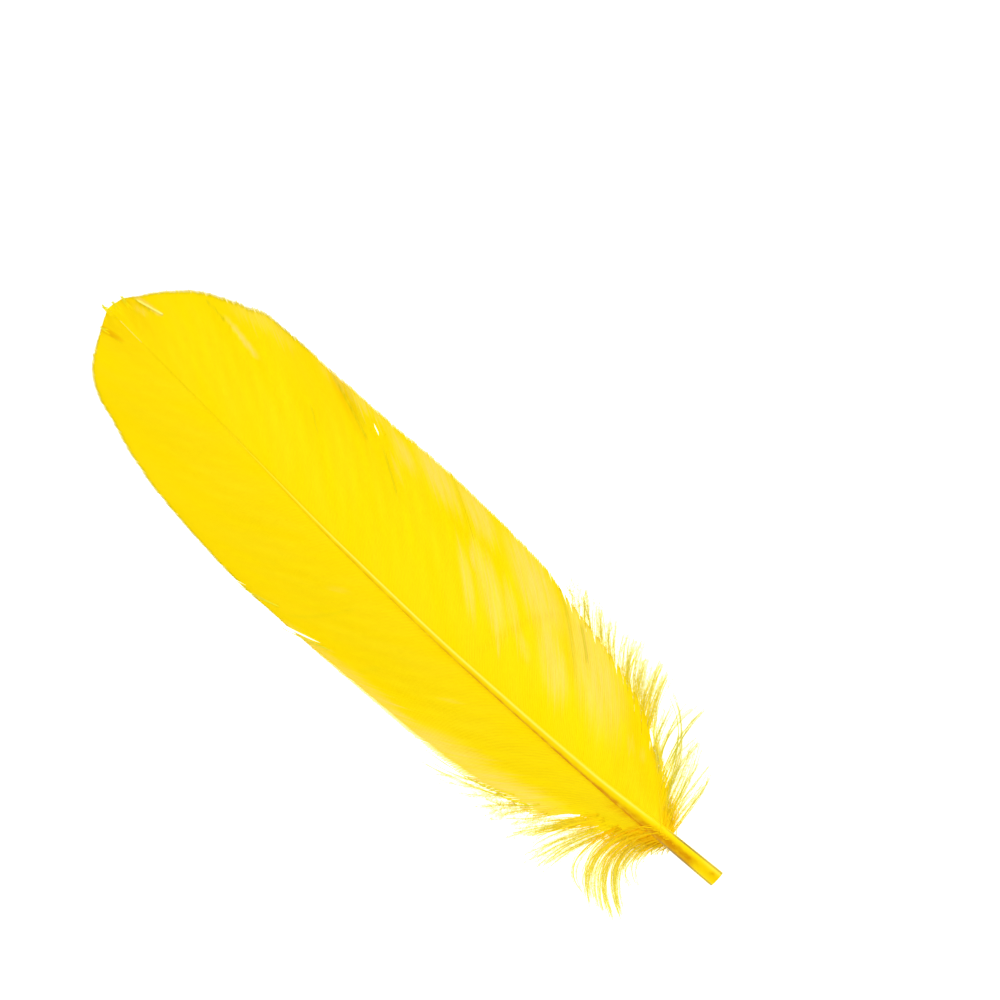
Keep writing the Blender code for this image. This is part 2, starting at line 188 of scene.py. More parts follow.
# Clumps: neighbouring barbs that draw together near the edge
CLUMP_LENGTHS = (1.6, 7.0)
LOW_CLUMP_SCALE = 0.35      # length of the clumps in the lower vanes over that higher up
CLUMP_PULL = (0.0, 0.03)
CLUMP_START = 0.9
CLUMP_UNEVENNESS = 0.0025
BASE_ROOT = 24.0            # below this root the barbs are loose and clump more
BASE_PULL = 0.3
BASE_PULL_CHANCE = (0.3, 1.0)
BASE_CLUMP_START = 0.45
LOW_EDGE_ROOT = 37.0        # below this root the right vane's edge is parted into points
LOW_EDGE_PULL = {-1: 0.1, 1: 0.5}
ROOT_BLEND = 6.0            # how softly these set in, in millimetres of root

# Folds and slits in the vanes: where they start and end as (share, root), the gap that opens
# (negative where barbs lie over their neighbours), the height that the upper side is lifted,
# how dark the painted shade along the line is (negative where it is a pale line of painted
# light instead) and how wide
FOLDS = {
    -1: [((0.56, 23.7), (1.3, 23.7), 1.2, 0.0, 0.0, 0.3),
         ((0.84, 20.6), (1.3, 20.6), 0.8, 0.0, 0.0, 0.3),
         ((0.86, 62.9), (1.3, 62.9), 0.35, 0.0, 0.0, 0.3),
         ((0.96, 75.4), (1.3, 75.4), 0.12, 0.0, 0.0, 0.3),
         ((0.25, 82.0), (0.9, 69.0), 0.0, 0.04, 0.12, 0.3),
         ((0.55, 62.0), (0.84, 55.5), 0.0, 0.04, 0.12, 0.3),
         ((0.55, 153.5), (1.2, 156.8), -0.1, 0.1, 0.1, 0.3)],
    1: [((0.86, 20.2), (1.3, 20.2), 1.2, 0.0, 0.0, 0.3),
        ((0.44, 37.5), (1.3, 37.5), -0.3, 0.2, 0.62, 0.5),
        ((0.66, 34.3), (0.97, 34.3), -0.25, 0.2, 0.5, 0.45),
        ((0.04, 65.0), (0.84, 38.0), 0.0, 0.06, 0.16, 0.5),
        ((0.54, 80.2), (0.8, 80.2), -0.1, 0.1, 0.4, 0.5),
        ((0.72, 84.5), (1.2, 93.4), -0.3, 0.25, 0.4, 0.6),
        ((0.8, 84.0), (1.2, 88.0), 0.0, 0.0, 0.15, 1.6),
        ((0.67, 59.4), (1.1, 59.6), -0.1, 0.12, 0.35, 0.4),
        ((0.845, 79.9), (0.89, 80.4), 0.45, 0.0, 0.0, 0.3),
        ((0.50, 103.1), (0.66, 103.1), -0.1, 0.1, 0.3, 0.4),
        ((0.72, 116.4), (0.88, 121.8), 0.0, 0.0, -2.4, 0.8),
        ((0.78, 119.4), (0.98, 127.0), -0.2, 0.12, 0.5, 0.45),
        ((0.78, 143.6), (1.02, 151.0), 0.0, 0.0, -2.4, 0.8),
        ((0.78, 145.6), (1.1, 156.4), 0.0, 0.08, 0.5, 0.3)],
}
FOLD_REACH = 2.2
FOLD_ROUNDING = 0.18
FOLD_BARB_LENGTH = 22.0     # length of the barbs where folds cross them
FOLD_LEAST_ROOM = 0.2
PATCH_UNEVENNESS = 0.025    # how far a patch of dye runs out along one barb, in share

# Paler and more amber patches of dye, and painted shadow beside the rib: (share, root, reach in share,
# reach in root, strength)
PALE_PATCHES = {
    -1: [(0.85, 30.0, 0.26, 6.5, 0.85), (0.86, 39.0, 0.25, 5.0, 0.85), (0.95, 49.0, 0.13, 9.0, 0.8),
         (0.96, 60.0, 0.08, 5.0, 0.7), (0.33, 54.7, 0.05, 0.7, 0.25), (0.29, 86.5, 0.05, 1.0, 0.2)],
    1: [(0.72, 32.6, 0.37, 5.8, 0.85), (0.43, 43.2, 0.19, 3.2, 0.85), (0.8, 44.8, 0.24, 5.0, 0.9),
        (0.5, 57.5, 0.19, 3.0, 0.8), (0.5, 52.4, 0.13, 1.5, 0.5), (0.43, 63.8, 0.16, 1.5, 0.75),
        (0.62, 60.6, 0.05, 1.1, 0.9), (0.93, 64.5, 0.14, 4.2, 0.85), (0.92, 55.4, 0.12, 3.6, 0.9),
        (0.88, 73.5, 0.08, 2.8, 0.6), (0.73, 77.5, 0.05, 1.1, 0.35), (0.98, 84.0, 0.04, 9.0, 0.8),
        (0.35, 50.5, 0.06, 1.6, 0.4), (0.5, 24.8, 0.07, 1.0, 0.3), (0.58, 21.8, 0.07, 0.7, 0.3),
        (0.27, 57.1, 0.05, 0.35, 0.6), (0.96, 110.0, 0.06, 8.0, 0.4), (0.8, 152.0, 0.05, 3.0, 0.5)],
}
# The left vane's two patches at share 0 are the rib's painted shadow on the vane
AMBER_AND_SHADOW_PATCHES = {
    -1: [(0.15, 13.5, 0.5, 4.6, 1.0), (0.08, 19.0, 0.16, 7.0, 0.75), (0.6, 158.0, 0.6, 10.0, 0.1),
         (0.0, 32.0, 0.07, 22.0, 0.6), (0.0, 60.0, 0.055, 34.0, 0.4), (0.85, 155.4, 0.3, 1.5, 0.9)],
    1: [(0.1, 13.0, 0.3, 2.0, 0.5), (0.35, 21.0, 0.6, 9.0, 0.16), (0.93, 88.0, 0.14, 3.6, 0.3),
        (0.6, 158.0, 0.6, 10.0, 0.1)],
}

# Locks of down as (root, bend, tip, fullness): three plan places, and the lock's share of the
# strands that its group gives to a full lock. First those of the left vane's base
TUFT_LOCKS = [
    ((-2.6, 14.6), (-11.5, 20.0), (-17.6, 9.6), 0.9), ((-3.0, 15.4), (-13.0, 21.2), (-19.2, 8.2), 1.0),
    ((-3.2, 16.2), (-14.0, 22.4), (-20.2, 9.6), 1.0), ((-3.4, 17.2), (-14.6, 23.4), (-20.6, 12.2), 1.0),
    ((-3.8, 18.2), (-14.6, 24.2), (-21.6, 14.6), 0.9),
    ((-4.6, 19.4), (-14.2, 24.6), (-20.2, 15.6), 0.6),
    ((-2.8, 14.0), (-12.6, 18.0), (-13.3, 10.0), 0.35),
    ((-2.6, 13.4), (-9.6, 16.4), (-12.0, 10.4), 0.25),
    ((-6.0, 21.4), (-19.4, 26.8), (-20.6, 17.2), 0.35),
    ((-2.4, 13.0), (-7.4, 16.8), (-11.4, 15.2), 0.7), ((-2.2, 12.4), (-5.4, 15.0), (-8.8, 14.6), 0.7),
]
FAN_LOCKS = [
    ((-6.4, 21.4), (-14.6, 26.0), (-21.8, 27.2), 0.8),
    ((-6.6, 22.2), (-15.0, 27.0), (-23.6, 28.4), 0.8),
    ((-6.8, 23.0), (-15.4, 28.0), (-24.3, 30.4), 0.7),
    ((-7.0, 23.8), (-14.8, 29.2), (-22.0, 31.4), 0.6),
    ((-7.2, 24.6), (-14.4, 30.4), (-20.4, 33.6), 0.8),
    ((-8.2, 26.2), (-15.0, 31.8), (-24.2, 37.0), 0.6),
    ((-8.8, 27.2), (-15.4, 33.0), (-20.6, 38.0), 0.4),
]
SLIT_LOCKS = [
    ((-7.0, 24.6), (-11.4, 27.8), (-15.4, 30.6), 1.0),
    ((-7.2, 25.0), (-11.8, 28.4), (-15.8, 31.2), 1.0),
    ((-7.4, 25.4), (-13.0, 29.6), (-19.0, 32.8), 0.6),
]
# Loose barbs and a haze of thin hairs off the left vane's edge
LOOSE_LEFT_BARBS = [
    ((-13.4, 36.0), (-18.4, 39.6), (-19.9, 44.6), 0.3),
    ((-14.8, 37.2), (-20.6, 48.6), (-23.3, 59.4), 0.45),
    ((-15.4, 41.0), (-20.2, 50.4), (-22.0, 57.6), 0.3),
    ((-16.6, 42.0), (-20.0, 50.0), (-21.2, 62.0), 0.3),
    ((-19.6, 88.0), (-22.2, 94.0), (-22.9, 98.8), 0.3),
    ((-20.2, 101.0), (-22.3, 106.6), (-22.5, 110.6), 0.3),
]
HAZE_LOCKS = [
    ((-14.6, 36.2), (-18.6, 39.0), (-23.4, 42.0), 0.9),
    ((-15.6, 38.6), (-19.0, 42.0), (-23.8, 46.0), 0.9),
    ((-16.6, 41.4), (-20.0, 45.6), (-23.6, 51.0), 0.7),
    ((-18.0, 46.0), (-21.0, 51.0), (-23.8, 56.0), 0.5),
    ((-12.0, 33.2), (-17.0, 35.0), (-22.4, 37.6), 0.7),
]
# Locks of the right vane's base, and bunches on its face and along its edge
CROSSING_LOCKS = [
    ((-0.4, 12.8), (8.6, 13.4), (15.4, 15.6), 0.5), ((-0.2, 13.4), (7.6, 14.8), (13.6, 14.4), 0.5),
    ((0.2, 13.8), (8.0, 16.4), (15.8, 16.8), 0.6), ((0.8, 14.8), (9.5, 16.6), (17.4, 20.2), 0.6),
    ((1.4, 15.8), (7.4, 19.4), (12.6, 20.8), 0.4),
]
LOW_RIGHT_LOCKS = [
    ((1.8, 16.8), (9.4, 18.2), (17.6, 23.4), 0.6), ((2.8, 18.2), (10.6, 20.2), (15.8, 25.4), 0.6),
    ((1.6, 17.4), (10.5, 22.4), (18.8, 20.9), 0.6), ((2.2, 18.6), (17.0, 21.4), (21.0, 32.2), 0.4),
    ((3.2, 19.8), (12.6, 25.0), (23.4, 25.2), 0.6), ((4.0, 21.4), (13.4, 28.8), (22.4, 27.0), 0.6),
    ((5.6, 23.6), (13.4, 29.4), (19.2, 30.2), 0.7),
]
HIGH_RIGHT_LOCKS = [
    ((4.0, 19.6), (8.6, 23.2), (11.4, 27.4), 0.8), ((5.6, 21.6), (10.0, 25.4), (13.0, 29.6), 0.6),
    ((9.8, 29.4), (15.6, 32.6), (24.0, 35.8), 1.0), ((10.6, 31.4), (16.4, 35.4), (24.4, 37.8), 1.1),
    ((11.6, 33.6), (16.4, 38.4), (22.6, 40.6), 0.7), ((13.0, 37.4), (18.0, 42.0), (24.3, 43.6), 0.6),
]
# Strands that stand out at the tip, and a narrow pale slit near it
TIP_LOCKS = [
    ((-0.3, 163.4), (-0.6, 166.0), (-0.4, 168.2), 0.9), ((1.0, 163.0), (1.3, 165.2), (1.5, 167.3), 0.6),
    ((3.0, 161.6), (3.2, 164.4), (3.5, 166.6), 0.7), ((-3.0, 161.0), (-3.3, 163.6), (-3.8, 165.4), 0.5),
]
PALE_SLIT_LOCKS = [
    ((6.5, 158.0), (5.8, 161.0), (5.1, 163.8), 0.8),
]
# Hairs that cross over the shaft where the vanes start
OVER_LOCKS = [
    ((0.1, 12.4), (3.2, 14.2), (7.4, 18.8), 1.0), ((-0.3, 14.2), (2.8, 16.4), (6.6, 21.4), 0.8),
    ((-0.6, 11.9), (-3.6, 13.8), (-8.2, 14.4), 0.8), ((-1.0, 13.6), (-3.8, 16.2), (-8.8, 17.0), 1.0),
    ((-1.3, 15.8), (-4.2, 18.6), (-8.4, 19.6), 0.8),
]

# Short broken stubs where the left vane starts
STUBS = [
    ((-1.8, 11.6), (-3.4, 12.4), (-4.9, 12.1), 0.4), ((-1.7, 11.2), (-2.8, 11.8), (-3.9, 11.2), 0.4),
    ((-1.6, 10.9), (-2.4, 11.2), (-3.2, 10.6), 0.4), ((-1.9, 12.4), (-4.0, 13.4), (-5.6, 12.9), 0.5),
]

# The fringe along the right vane's lower edge
FRINGE_FIRST = 31.0
FRINGE_LAST = 60.5
FRINGE_STEP = 0.9
FRINGE_ROOT_BACK = (1.6, 3.0)
FRINGE_BEND_OUT = (2.0, 1.2)
FRINGE_LIFT = (2.4, 4.8)
FRINGE_TIP_ACROSS = (22.8, 25.0)
FRINGE_FULLNESS = (0.15, 0.45)

# Groups of locks. On their first line stand the strands of a full lock, how far they spread at
# the root, bend and tip, how much they fall short of the tip, their least and greatest width,
# the length of their barbules over the longest, and the heights over the vane's face at which
# they start. On their second line, how pale their tips, how amber their roots and how dull the
# thickest strands are, the power by which they turn pale, the share of their length where the
# amber ends, and the shares between which the dullness sets in
Group = namedtuple("Group", "strands spread shortfall width barbule start pale amber dull "
                            "pale_curve amber_reach dull_reach")
TUFT = Group(15, (0.45, 0.6, 0.5), 0.16, (0.1, 0.38), 0.8, (0.0, 0.35),
             0.6, 1.2, 0.25, 1.5, 0.95, (0.35, 0.8))
FAN = Group(13, (0.45, 0.7, 0.9), 0.2, (0.06, 0.34), 1.0, (-0.2, 0.05),
            0.85, 0.5, 0.45, 1.5, 0.7, (0.05, 0.5))
SLIT = Group(10, (0.4, 0.35, 0.4), 0.2, (0.2, 0.36), 0.3, (-0.15, 0.12),
             0.2, 0.7, 0.0, 1.5, 2.0, (0.3, 0.8))
LOOSE = Group(8, (0.05, 0.08, 0.12), 0.1, (0.16, 0.28), 0.25, (0.05, 0.15),
              0.7, 0.0, 0.7, 1.5, 0.45, (0.0, 0.1))
HAZE = Group(12, (0.6, 0.8, 1.4), 0.3, (0.04, 0.08), 1.3, (-0.1, 0.05),
             1.0, 0.0, 0.6, 1.5, 0.45, (0.05, 0.5))
STUBBY = Group(8, (0.15, 0.2, 0.25), 0.1, (0.2, 0.5), 0.1, (0.0, 0.1),
               0.0, 0.6, 1.0, 1.5, 1.2, (0.0, 0.5))
LOW = Group(12, (0.5, 0.6, 0.8), 0.12, (0.06, 0.34), 1.0, (-0.5, -0.25),
            0.9, 0.5, 0.9, 1.5, 0.45, (0.1, 0.6))
CROSSING = Group(12, (0.4, 0.6, 0.7), 0.12, (0.08, 0.3), 0.8, (0.05, 0.3),
                 0.8, 1.0, 0.9, 1.5, 0.45, (0.1, 0.6))
BUNCH = Group(14, (0.4, 0.35, 0.4), 0.2, (0.08, 0.34), 0.9, (-0.4, -0.2),
              0.6, 0.55, 0.05, 1.5, 1.1, (0.3, 0.9))
FRINGE = Group(12, (0.35, 0.35, 0.6), 0.16, (0.05, 0.2), 1.0, (-0.5, -0.3),
               1.0, 0.0, 0.65, 1.2, 0.45, (0.05, 0.5))
OVER = Group(7, (0.6, 0.9, 1.3), 0.3, (0.08, 0.2), 0.08, (1.25, 1.5),
             0.2, 0.9, 0.0, 1.5, 2.4, (0.0, 0.5))
CROWN = Group(10, (0.3, 0.2, 0.1), 0.06, (0.2, 0.4), 0.1, (-0.4, -0.15),
              0.0, 0.6, 0.8, 1.5, 0.9, (0.55, 0.95))
PALE_SLIT = Group(8, (0.14, 0.1, 0.03), 0.1, (0.26, 0.46), 0.0, (0.15, 0.25),
                  0.6, 0.0, 0.0, 0.0, 0.45, (0.0, 0.5))

# Strands: the fine hairs that a lock is made of, and the barbules on them
STRAND_SECTION = [(1.0, 0.0), (0.0, 0.3), (-1.0, 0.0), (0.0, -0.3)]
STRAND_STEPS = 14
FEWEST = 2                  # least number of strands in a lock, and of barbules on a strand
STRAND_TIP = 0.3            # thickness of a strand's tip over its root's
TAPER_CURVE = 0.8           # how soon a strand thins
STRAND_LOWEST = 0.05
ROOT_SCATTER = (-1.2, 0.6)  # how far roots lie back or on along a lock, over their spread there
TIP_GATHER = 0.4            # how far the strands keep their places in the lock at its tip
WAVE_PACE = (4.0, 10.0)     # waves of a strand: radians along it, and size in millimetres
WAVE_SIZE = 0.16
RISE_CURVE = 1.5            # how a strand's tip rises over the vane, by up to a millimetre
TIP_SAG = 0.1
PATTERN_SPREAD = 40.0       # how far apart the streaks of two strands may lie in the noise
PALE_CHANCE = 0.2
PALE_LOSS = 0.5             # how much less pale the thickest strands are
AMBER_CHANCE = (0.4, 1.0)
LEAST_DULL = 0.2
STRAND_SHORTEST = 0.45      # least length of a strand beyond its bend, as a share of the lock's
BARBULE_GAP = 0.17
BARBULE_WIDTH = 0.025
BARBULE_ANGLE = (0.5, 1.1)
BARBULE_AT_TIP = 0.35       # length of the last barbules over the first ones'
BARBULE_RUN = (0.12, 1.0)   # shares of a strand between which it has barbules
BARBULE_TILT = 0.25
BARBULE_CHANCE = (0.5, 1.0)
BARBULE_PALE = 0.7          # how pale the last barbules and how amber the first ones are
BARBULE_AMBER = 0.4

# Pieces of down and what they are made of, besides the fringe and the hairs over the shaft
PIECE_GROUPS = {
    "left_down": ((TUFT_LOCKS, TUFT), (FAN_LOCKS, FAN), (SLIT_LOCKS, SLIT),
                  (LOOSE_LEFT_BARBS, LOOSE), (HAZE_LOCKS, HAZE), (STUBS, STUBBY)),
    "right_down": ((CROSSING_LOCKS, CROSSING), (LOW_RIGHT_LOCKS, LOW), (HIGH_RIGHT_LOCKS, BUNCH),
                   (TIP_LOCKS, CROWN), (PALE_SLIT_LOCKS, PALE_SLIT)),
}


# Noises of the finishes: how they are stretched for each axis, and their detail
BARB_STREAKS = ((0.12, 1.6, 1.0), 3.0)
BARB_PATCHES = ((0.05, 0.12, 1.0), 2.0)
BARB_GRAIN = ((0.6, 2.6, 1.0), 3.0)
DOWN_STREAKS = ((0.3, 0.9, 1.0), 2.0)
HORN_GRAIN = ((2600.0, 90.0, 2600.0), 3.0)
HORN_STAINS = ((900.0, 450.0, 900.0), 3.0)
NOISE_RANGE = (0.3, 0.7)    # values that nearly all of a noise lies between

# What the noises do: the least and the greatest value that they are spread over
STREAK_PALENESS = (0.35, 1.2)
PATCH_PALENESS = (0.0, 0.03)
STREAK_AMBER = (0.4, 1.4)
GRAIN_AMBER = (0.0, 0.12)
DOWN_PALENESS = (0.6, 1.1)
STAIN_AMBER = (0.45, 1.35)
BARB_ROUGHNESS = (0.5, 0.62)
HORN_ROUGHNESS = (0.25, 0.42)
DOWN_ROUGHNESS = 0.7
TABLE_ROUGHNESS = 0.9

# Gloss as (sheen, specular level), and bumps as (strength, height)
BARB_GLOSS = (0.05, 0.25)
DOWN_GLOSS = (0.05, 0.1)
HORN_GLOSS = (0.0, 0.25)
SHEEN_ROUGHNESS = 0.4
BARB_BUMP = (0.25, 0.02 * MM)
DOWN_BUMP = (0.2, 0.02 * MM)
HORN_BUMP = (0.3, 0.04 * MM)

# Fine lines of barbules on the barbs: their angle to the barb, how dense and how uneven they are
LINE_TURN = math.radians(40)
LINE_SCALE = 2.2
LINE_DISTORTION = 1.5

# Sockets of the mix node that take and give colours
MIX_FACTOR = 0
MIX_COLOURS = (6, 7)
MIX_RESULT = 2


def smooth(points, at):
    """Values at some places of the smooth curve through (place, value) points, with no overshoot."""
    places, values = numpy.array(points, float).T
    slopes = numpy.diff(values) / numpy.diff(places)
    before = slopes[:-1]
    after = slopes[1:]
    turning = before * after <= 0
    middle = numpy.where(turning, 0.0, 2 * before * after / numpy.where(turning, 1.0, before + after))
    tangents = numpy.concatenate((slopes[:1], middle, slopes[-1:]))
    held = numpy.clip(at, places[0], places[-1])
    i = numpy.clip(numpy.searchsorted(places, held, side="right") - 1, 0, len(places) - 2)
    span = places[i + 1] - places[i]
    t = (held - places[i]) / span
    return ((2 * t**3 - 3 * t**2 + 1) * values[i] + (t**3 - 2 * t**2 + t) * span * tangents[i]
            + (3 * t**2 - 2 * t**3) * values[i + 1] + (t**3 - t**2) * span * tangents[i + 1])


def quadratic(start, bend, end, t):
    """Points at t on the curve from start to end that leans towards bend."""
    return (1 - t)**2 * start + 2 * t * (1 - t) * bend + t**2 * end


def ramp(low, high, at):
    """Values that rise from 0 at low to 1 at high, with soft ends."""
    t = numpy.clip((at - low) / (high - low), 0.0, 1.0)
    return t * t * (3 - 2 * t)


def shaft_floor(station):
    """Height of the shaft's underside over the table."""
    return ARCH * numpy.sin(math.pi * station / LENGTH)


def barb_places(side, roots, shares):
    """Across and station values at some shares of the barbs of some roots."""
    start = smooth(SHAFT_MIDDLE, roots)
    edge_station = smooth(BARB_SWEEP[side], roots)
    edge = smooth(VANE_EDGE[side], edge_station)
    reach = numpy.abs(edge - start)
    chord_angle = numpy.arctan2(reach, edge_station - roots)
    first_angle = chord_angle * smooth(FIRST_ANGLE[side], roots)
    bend_reach = reach * smooth(BEND_PLACE[side], roots)
    bend_station = roots + bend_reach / numpy.tan(first_angle)
    across = quadratic(start, start + side * bend_reach, edge, shares)
    station = quadratic(roots, bend_station, edge_station, shares)
    return across, station


def web_share(across, station):
    """How far out on the vane a plan place is: 0 at the shaft, 1 where the flat border starts."""
    middle = smooth(SHAFT_MIDDLE, station)
    edge = numpy.where(across < middle, smooth(VANE_EDGE[-1], station), smooth(VANE_EDGE[1], station))
    width = numpy.abs(edge - middle)
    border = numpy.minimum(FLAT_BORDER, FLAT_SHARE * width)
    return numpy.minimum(1.0, numpy.abs(across - middle) / numpy.maximum(width - border, TINY))


def vane_top(across, station):
    """Height of the vane's upper face over the table at some plan places."""
    root_floor = (shaft_floor(station) + smooth(SHAFT_DEPTH, station)
                  - smooth(VANE_INSET, station) - WEB_AT_SHAFT)
    share = web_share(across, station)
    web_floor = numpy.maximum(root_floor, 0.0) * (1 + numpy.cos(math.pi * share)) / 2
    thickness = WEB_AT_SHAFT + (WEB_AT_EDGE - WEB_AT_SHAFT) * share
    return web_floor + thickness * (TOP_AT_SHAFT + (TOP_AT_EDGE - TOP_AT_SHAFT) * share)


def select_only(item):
    """Select one object and make it active."""
    bpy.ops.object.select_all(action="DESELECT")
    item.select_set(True)
    bpy.context.view_layer.objects.active = item


def model_rod(name, section, steps):
    """Model a rod of unit length along +Y with the given section, to be copied and bent later."""
    bpy.ops.object.select_all(action="DESELECT")
    bpy.ops.mesh.primitive_circle_add(vertices=len(section), radius=1.0, fill_type="NGON")
    rod = bpy.context.object
    rod.name = name
    bpy.ops.object.mode_set(mode="EDIT")
    shape = bmesh.from_edit_mesh(rod.data)
    for corner, (across, height) in zip(shape.verts, section):
        corner.co = Vector((across, 0.0, height))
    bmesh.update_edit_mesh(rod.data)
    bpy.ops.mesh.select_all(action="SELECT")
    for _ in range(steps):
        bpy.ops.mesh.extrude_region_move(TRANSFORM_OT_translate={"value": (0.0, 1 / steps, 0.0)})
    bpy.ops.mesh.select_all(action="SELECT")
    bpy.ops.mesh.normals_make_consistent(inside=False)
    bpy.ops.object.mode_set(mode="OBJECT")
    return rod


def model_barbule():
    """Model a thin three-sided spike of unit length along +Y, to be copied later."""
    bpy.ops.object.select_all(action="DESELECT")
    bpy.ops.mesh.primitive_cone_add(vertices=3, radius1=1.0, radius2=0.0, depth=1.0,
                                    location=(0.0, 0.5, 0.0), rotation=(-math.pi / 2, 0.0, 0.0))
    spike = bpy.context.object
    spike.name = "barbule_pattern"
    bpy.ops.object.transform_apply(location=True, rotation=True, scale=True)
    return spike


def read_points(mesh):
    """Places of a mesh's points."""
    points = numpy.empty(len(mesh.vertices) * 3)
    mesh.vertices.foreach_get("co", points)
    return points.reshape(-1, 3)


def read_counts(rows, name):
    """A whole number for each face or corner of a mesh."""
    values = numpy.empty(len(rows), dtype=numpy.int64)
    rows.foreach_get(name, values)
    return values


def take_pattern(item):
    """Read a pattern's points and faces, and remove its object."""
    mesh = item.data
    pattern = SimpleNamespace(points=read_points(mesh),
                              corners=read_counts(mesh.loops, "vertex_index"),
                              counts=read_counts(mesh.polygons, "loop_total"))
    bpy.data.objects.remove(item, do_unlink=True)
    return pattern


def make_part(pattern, copies, points, flat, tones):
    """One part of a piece: many copies of a pattern with their points, map and tones."""
    return SimpleNamespace(pattern=pattern, copies=copies, points=points.reshape(-1, 3),
                           flat=flat.reshape(-1, 2), tones=tones.reshape(-1, 3))


def copy_faces(pattern, copies, first_point):
    """Faces of many copies of a pattern, as corner points and corner counts."""
    step = len(pattern.points)
    starts = first_point + step * numpy.arange(copies)
    corners = (starts[:, None] + pattern.corners[None, :]).ravel()
    return corners, numpy.tile(pattern.counts, copies)


def add_piece(name, parts, material):
    """Make one object of parts, each with points in millimetres, faces, a map and tones."""
    points = numpy.concatenate([part.points for part in parts])
    corners = []
    counts = []
    first_point = 0
    for part in parts:
        part_corners, part_counts = copy_faces(part.pattern, part.copies, first_point)
        corners.append(part_corners)
        counts.append(part_counts)
        first_point += len(part.points)
    corners = numpy.concatenate(corners)
    counts = numpy.concatenate(counts)
    points[:, 1] -= LENGTH / 2
    mesh = bpy.data.meshes.new(name)
    mesh.vertices.add(len(points))
    mesh.vertices.foreach_set("co", (points * MM).ravel())
    mesh.loops.add(len(corners))
    mesh.loops.foreach_set("vertex_index", corners)
    mesh.polygons.add(len(counts))
    mesh.polygons.foreach_set("loop_start", numpy.cumsum(counts) - counts)
    mesh.polygons.foreach_set("loop_total", counts)
    mesh.update(calc_edges=True)
    flat = numpy.concatenate([part.flat for part in parts])
    mesh.uv_layers.new(name="along").data.foreach_set("uv", flat[corners].ravel())
    tones = numpy.concatenate([part.tones for part in parts])
    add_tones(mesh, tones)
    if mesh.validate():
        raise RuntimeError(f"the mesh of {name} has broken faces")
    item = bpy.data.objects.new(name, mesh)
    bpy.context.collection.objects.link(item)
    select_only(item)
    bpy.ops.object.shade_smooth_by_angle(angle=BARB_CREASE)
    mesh.materials.append(material)
    return item


def add_tones(mesh, tones):
    """Give a mesh its tones, which hold dye and, on the vanes and the shaft, painted light and shade:
    how pale, how amber and how dull each point is.
    """
    layer = mesh.color_attributes.new(name="tone", type="FLOAT_COLOR", domain="POINT")
    colours = numpy.ones((len(tones), 4))
    colours[:, :3] = tones
    layer.data.foreach_set("color", colours.ravel())


def fit_piece(item):
    """Let a piece ride on the feather's body and stand for its solid."""
    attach(item, "root")
    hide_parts("feather")


def add_node(material, kind, **values):
    """Add a shader node and set its properties."""
    node = material.node_tree.nodes.new(kind)
    for name, value in values.items():
        setattr(node, name, value)
    return node


def link(material, output, target):
    """Join two sockets of a material."""
    material.node_tree.links.new(output, target)


def mix_colours(material, first, second, factor):
    """Add a node that mixes two colours by a factor; a colour is a socket or a plain colour."""
    node = add_node(material, "ShaderNodeMix", data_type="RGBA")
    for place, colour in zip(MIX_COLOURS, (first, second)):
        socket = node.inputs[place]
        if isinstance(colour, bpy.types.NodeSocket):
            link(material, colour, socket)
        else:
            socket.default_value = (*colour, 1.0)
    link(material, factor, node.inputs[MIX_FACTOR])
    return node.outputs[MIX_RESULT]


def stretched_noise(material, coordinates, scale, detail):
    """Add a noise that reads coordinates stretched by a scale for each axis."""
    mapping = add_node(material, "ShaderNodeMapping")
    mapping.inputs["Scale"].default_value = scale
    link(material, coordinates, mapping.inputs["Vector"])
    noise = add_node(material, "ShaderNodeTexNoise")
    noise.inputs["Scale"].default_value = 1.0
    noise.inputs["Detail"].default_value = detail
    link(material, mapping.outputs["Vector"], noise.inputs["Vector"])
    return noise.outputs["Fac"]


def spread_values(material, value, low, high):
    """Add a node that spreads a noise over another range."""
    node = add_node(material, "ShaderNodeMapRange")
    node.inputs["From Min"].default_value = NOISE_RANGE[0]
    node.inputs["From Max"].default_value = NOISE_RANGE[1]
    node.inputs["To Min"].default_value = low
    node.inputs["To Max"].default_value = high
    link(material, value, node.inputs["Value"])
    return node.outputs["Result"]


def work_out(material, operation, first, second):
    """Add a sum, product or other calculation of two values; each is a socket or a number."""
    node = add_node(material, "ShaderNodeMath", operation=operation)
    for socket, value in zip(node.inputs, (first, second)):
        if isinstance(value, bpy.types.NodeSocket):
            link(material, value, socket)
        else:
            socket.default_value = value
    return node.outputs["Value"]


def start_material(name, gloss_colour, sheen, specular):
    """Start a material and return it with its surface node and its tone values."""
    material = bpy.data.materials.new(name)
    material.use_nodes = True
    surface = material.node_tree.nodes["Principled BSDF"]
    surface.inputs["Specular IOR Level"].default_value = specular
    surface.inputs["Specular Tint"].default_value = (*gloss_colour, 1.0)
    surface.inputs["Sheen Weight"].default_value = sheen
    surface.inputs["Sheen Roughness"].default_value = SHEEN_ROUGHNESS
    surface.inputs["Sheen Tint"].default_value = (*gloss_colour, 1.0)
    tones = add_node(material, "ShaderNodeAttribute", attribute_name="tone")
    split = add_node(material, "ShaderNodeSeparateColor")
    link(material, tones.outputs["Color"], split.inputs["Color"])
    along = add_node(material, "ShaderNodeUVMap", uv_map="along")
    return SimpleNamespace(material=material, surface=surface, pale=split.outputs["Red"],
                           amber=split.outputs["Green"], dull=split.outputs["Blue"],
                           along=along.outputs["UV"])


def add_bump(finish, height, strength, distance):
    """Join a height to the surface's normal."""
    bump = add_node(finish.material, "ShaderNodeBump")
    bump.inputs["Strength"].default_value = strength
    bump.inputs["Distance"].default_value = distance
    link(finish.material, height, bump.inputs["Height"])
    link(finish.material, bump.outputs["Normal"], finish.surface.inputs["Normal"])


def vary(finish, operation, value, noise, extent):
    """Multiply a value by a noise that is spread over an extent, or add that noise to it."""
    spread = spread_values(finish.material, noise, *extent)
    return work_out(finish.material, operation, value, spread)


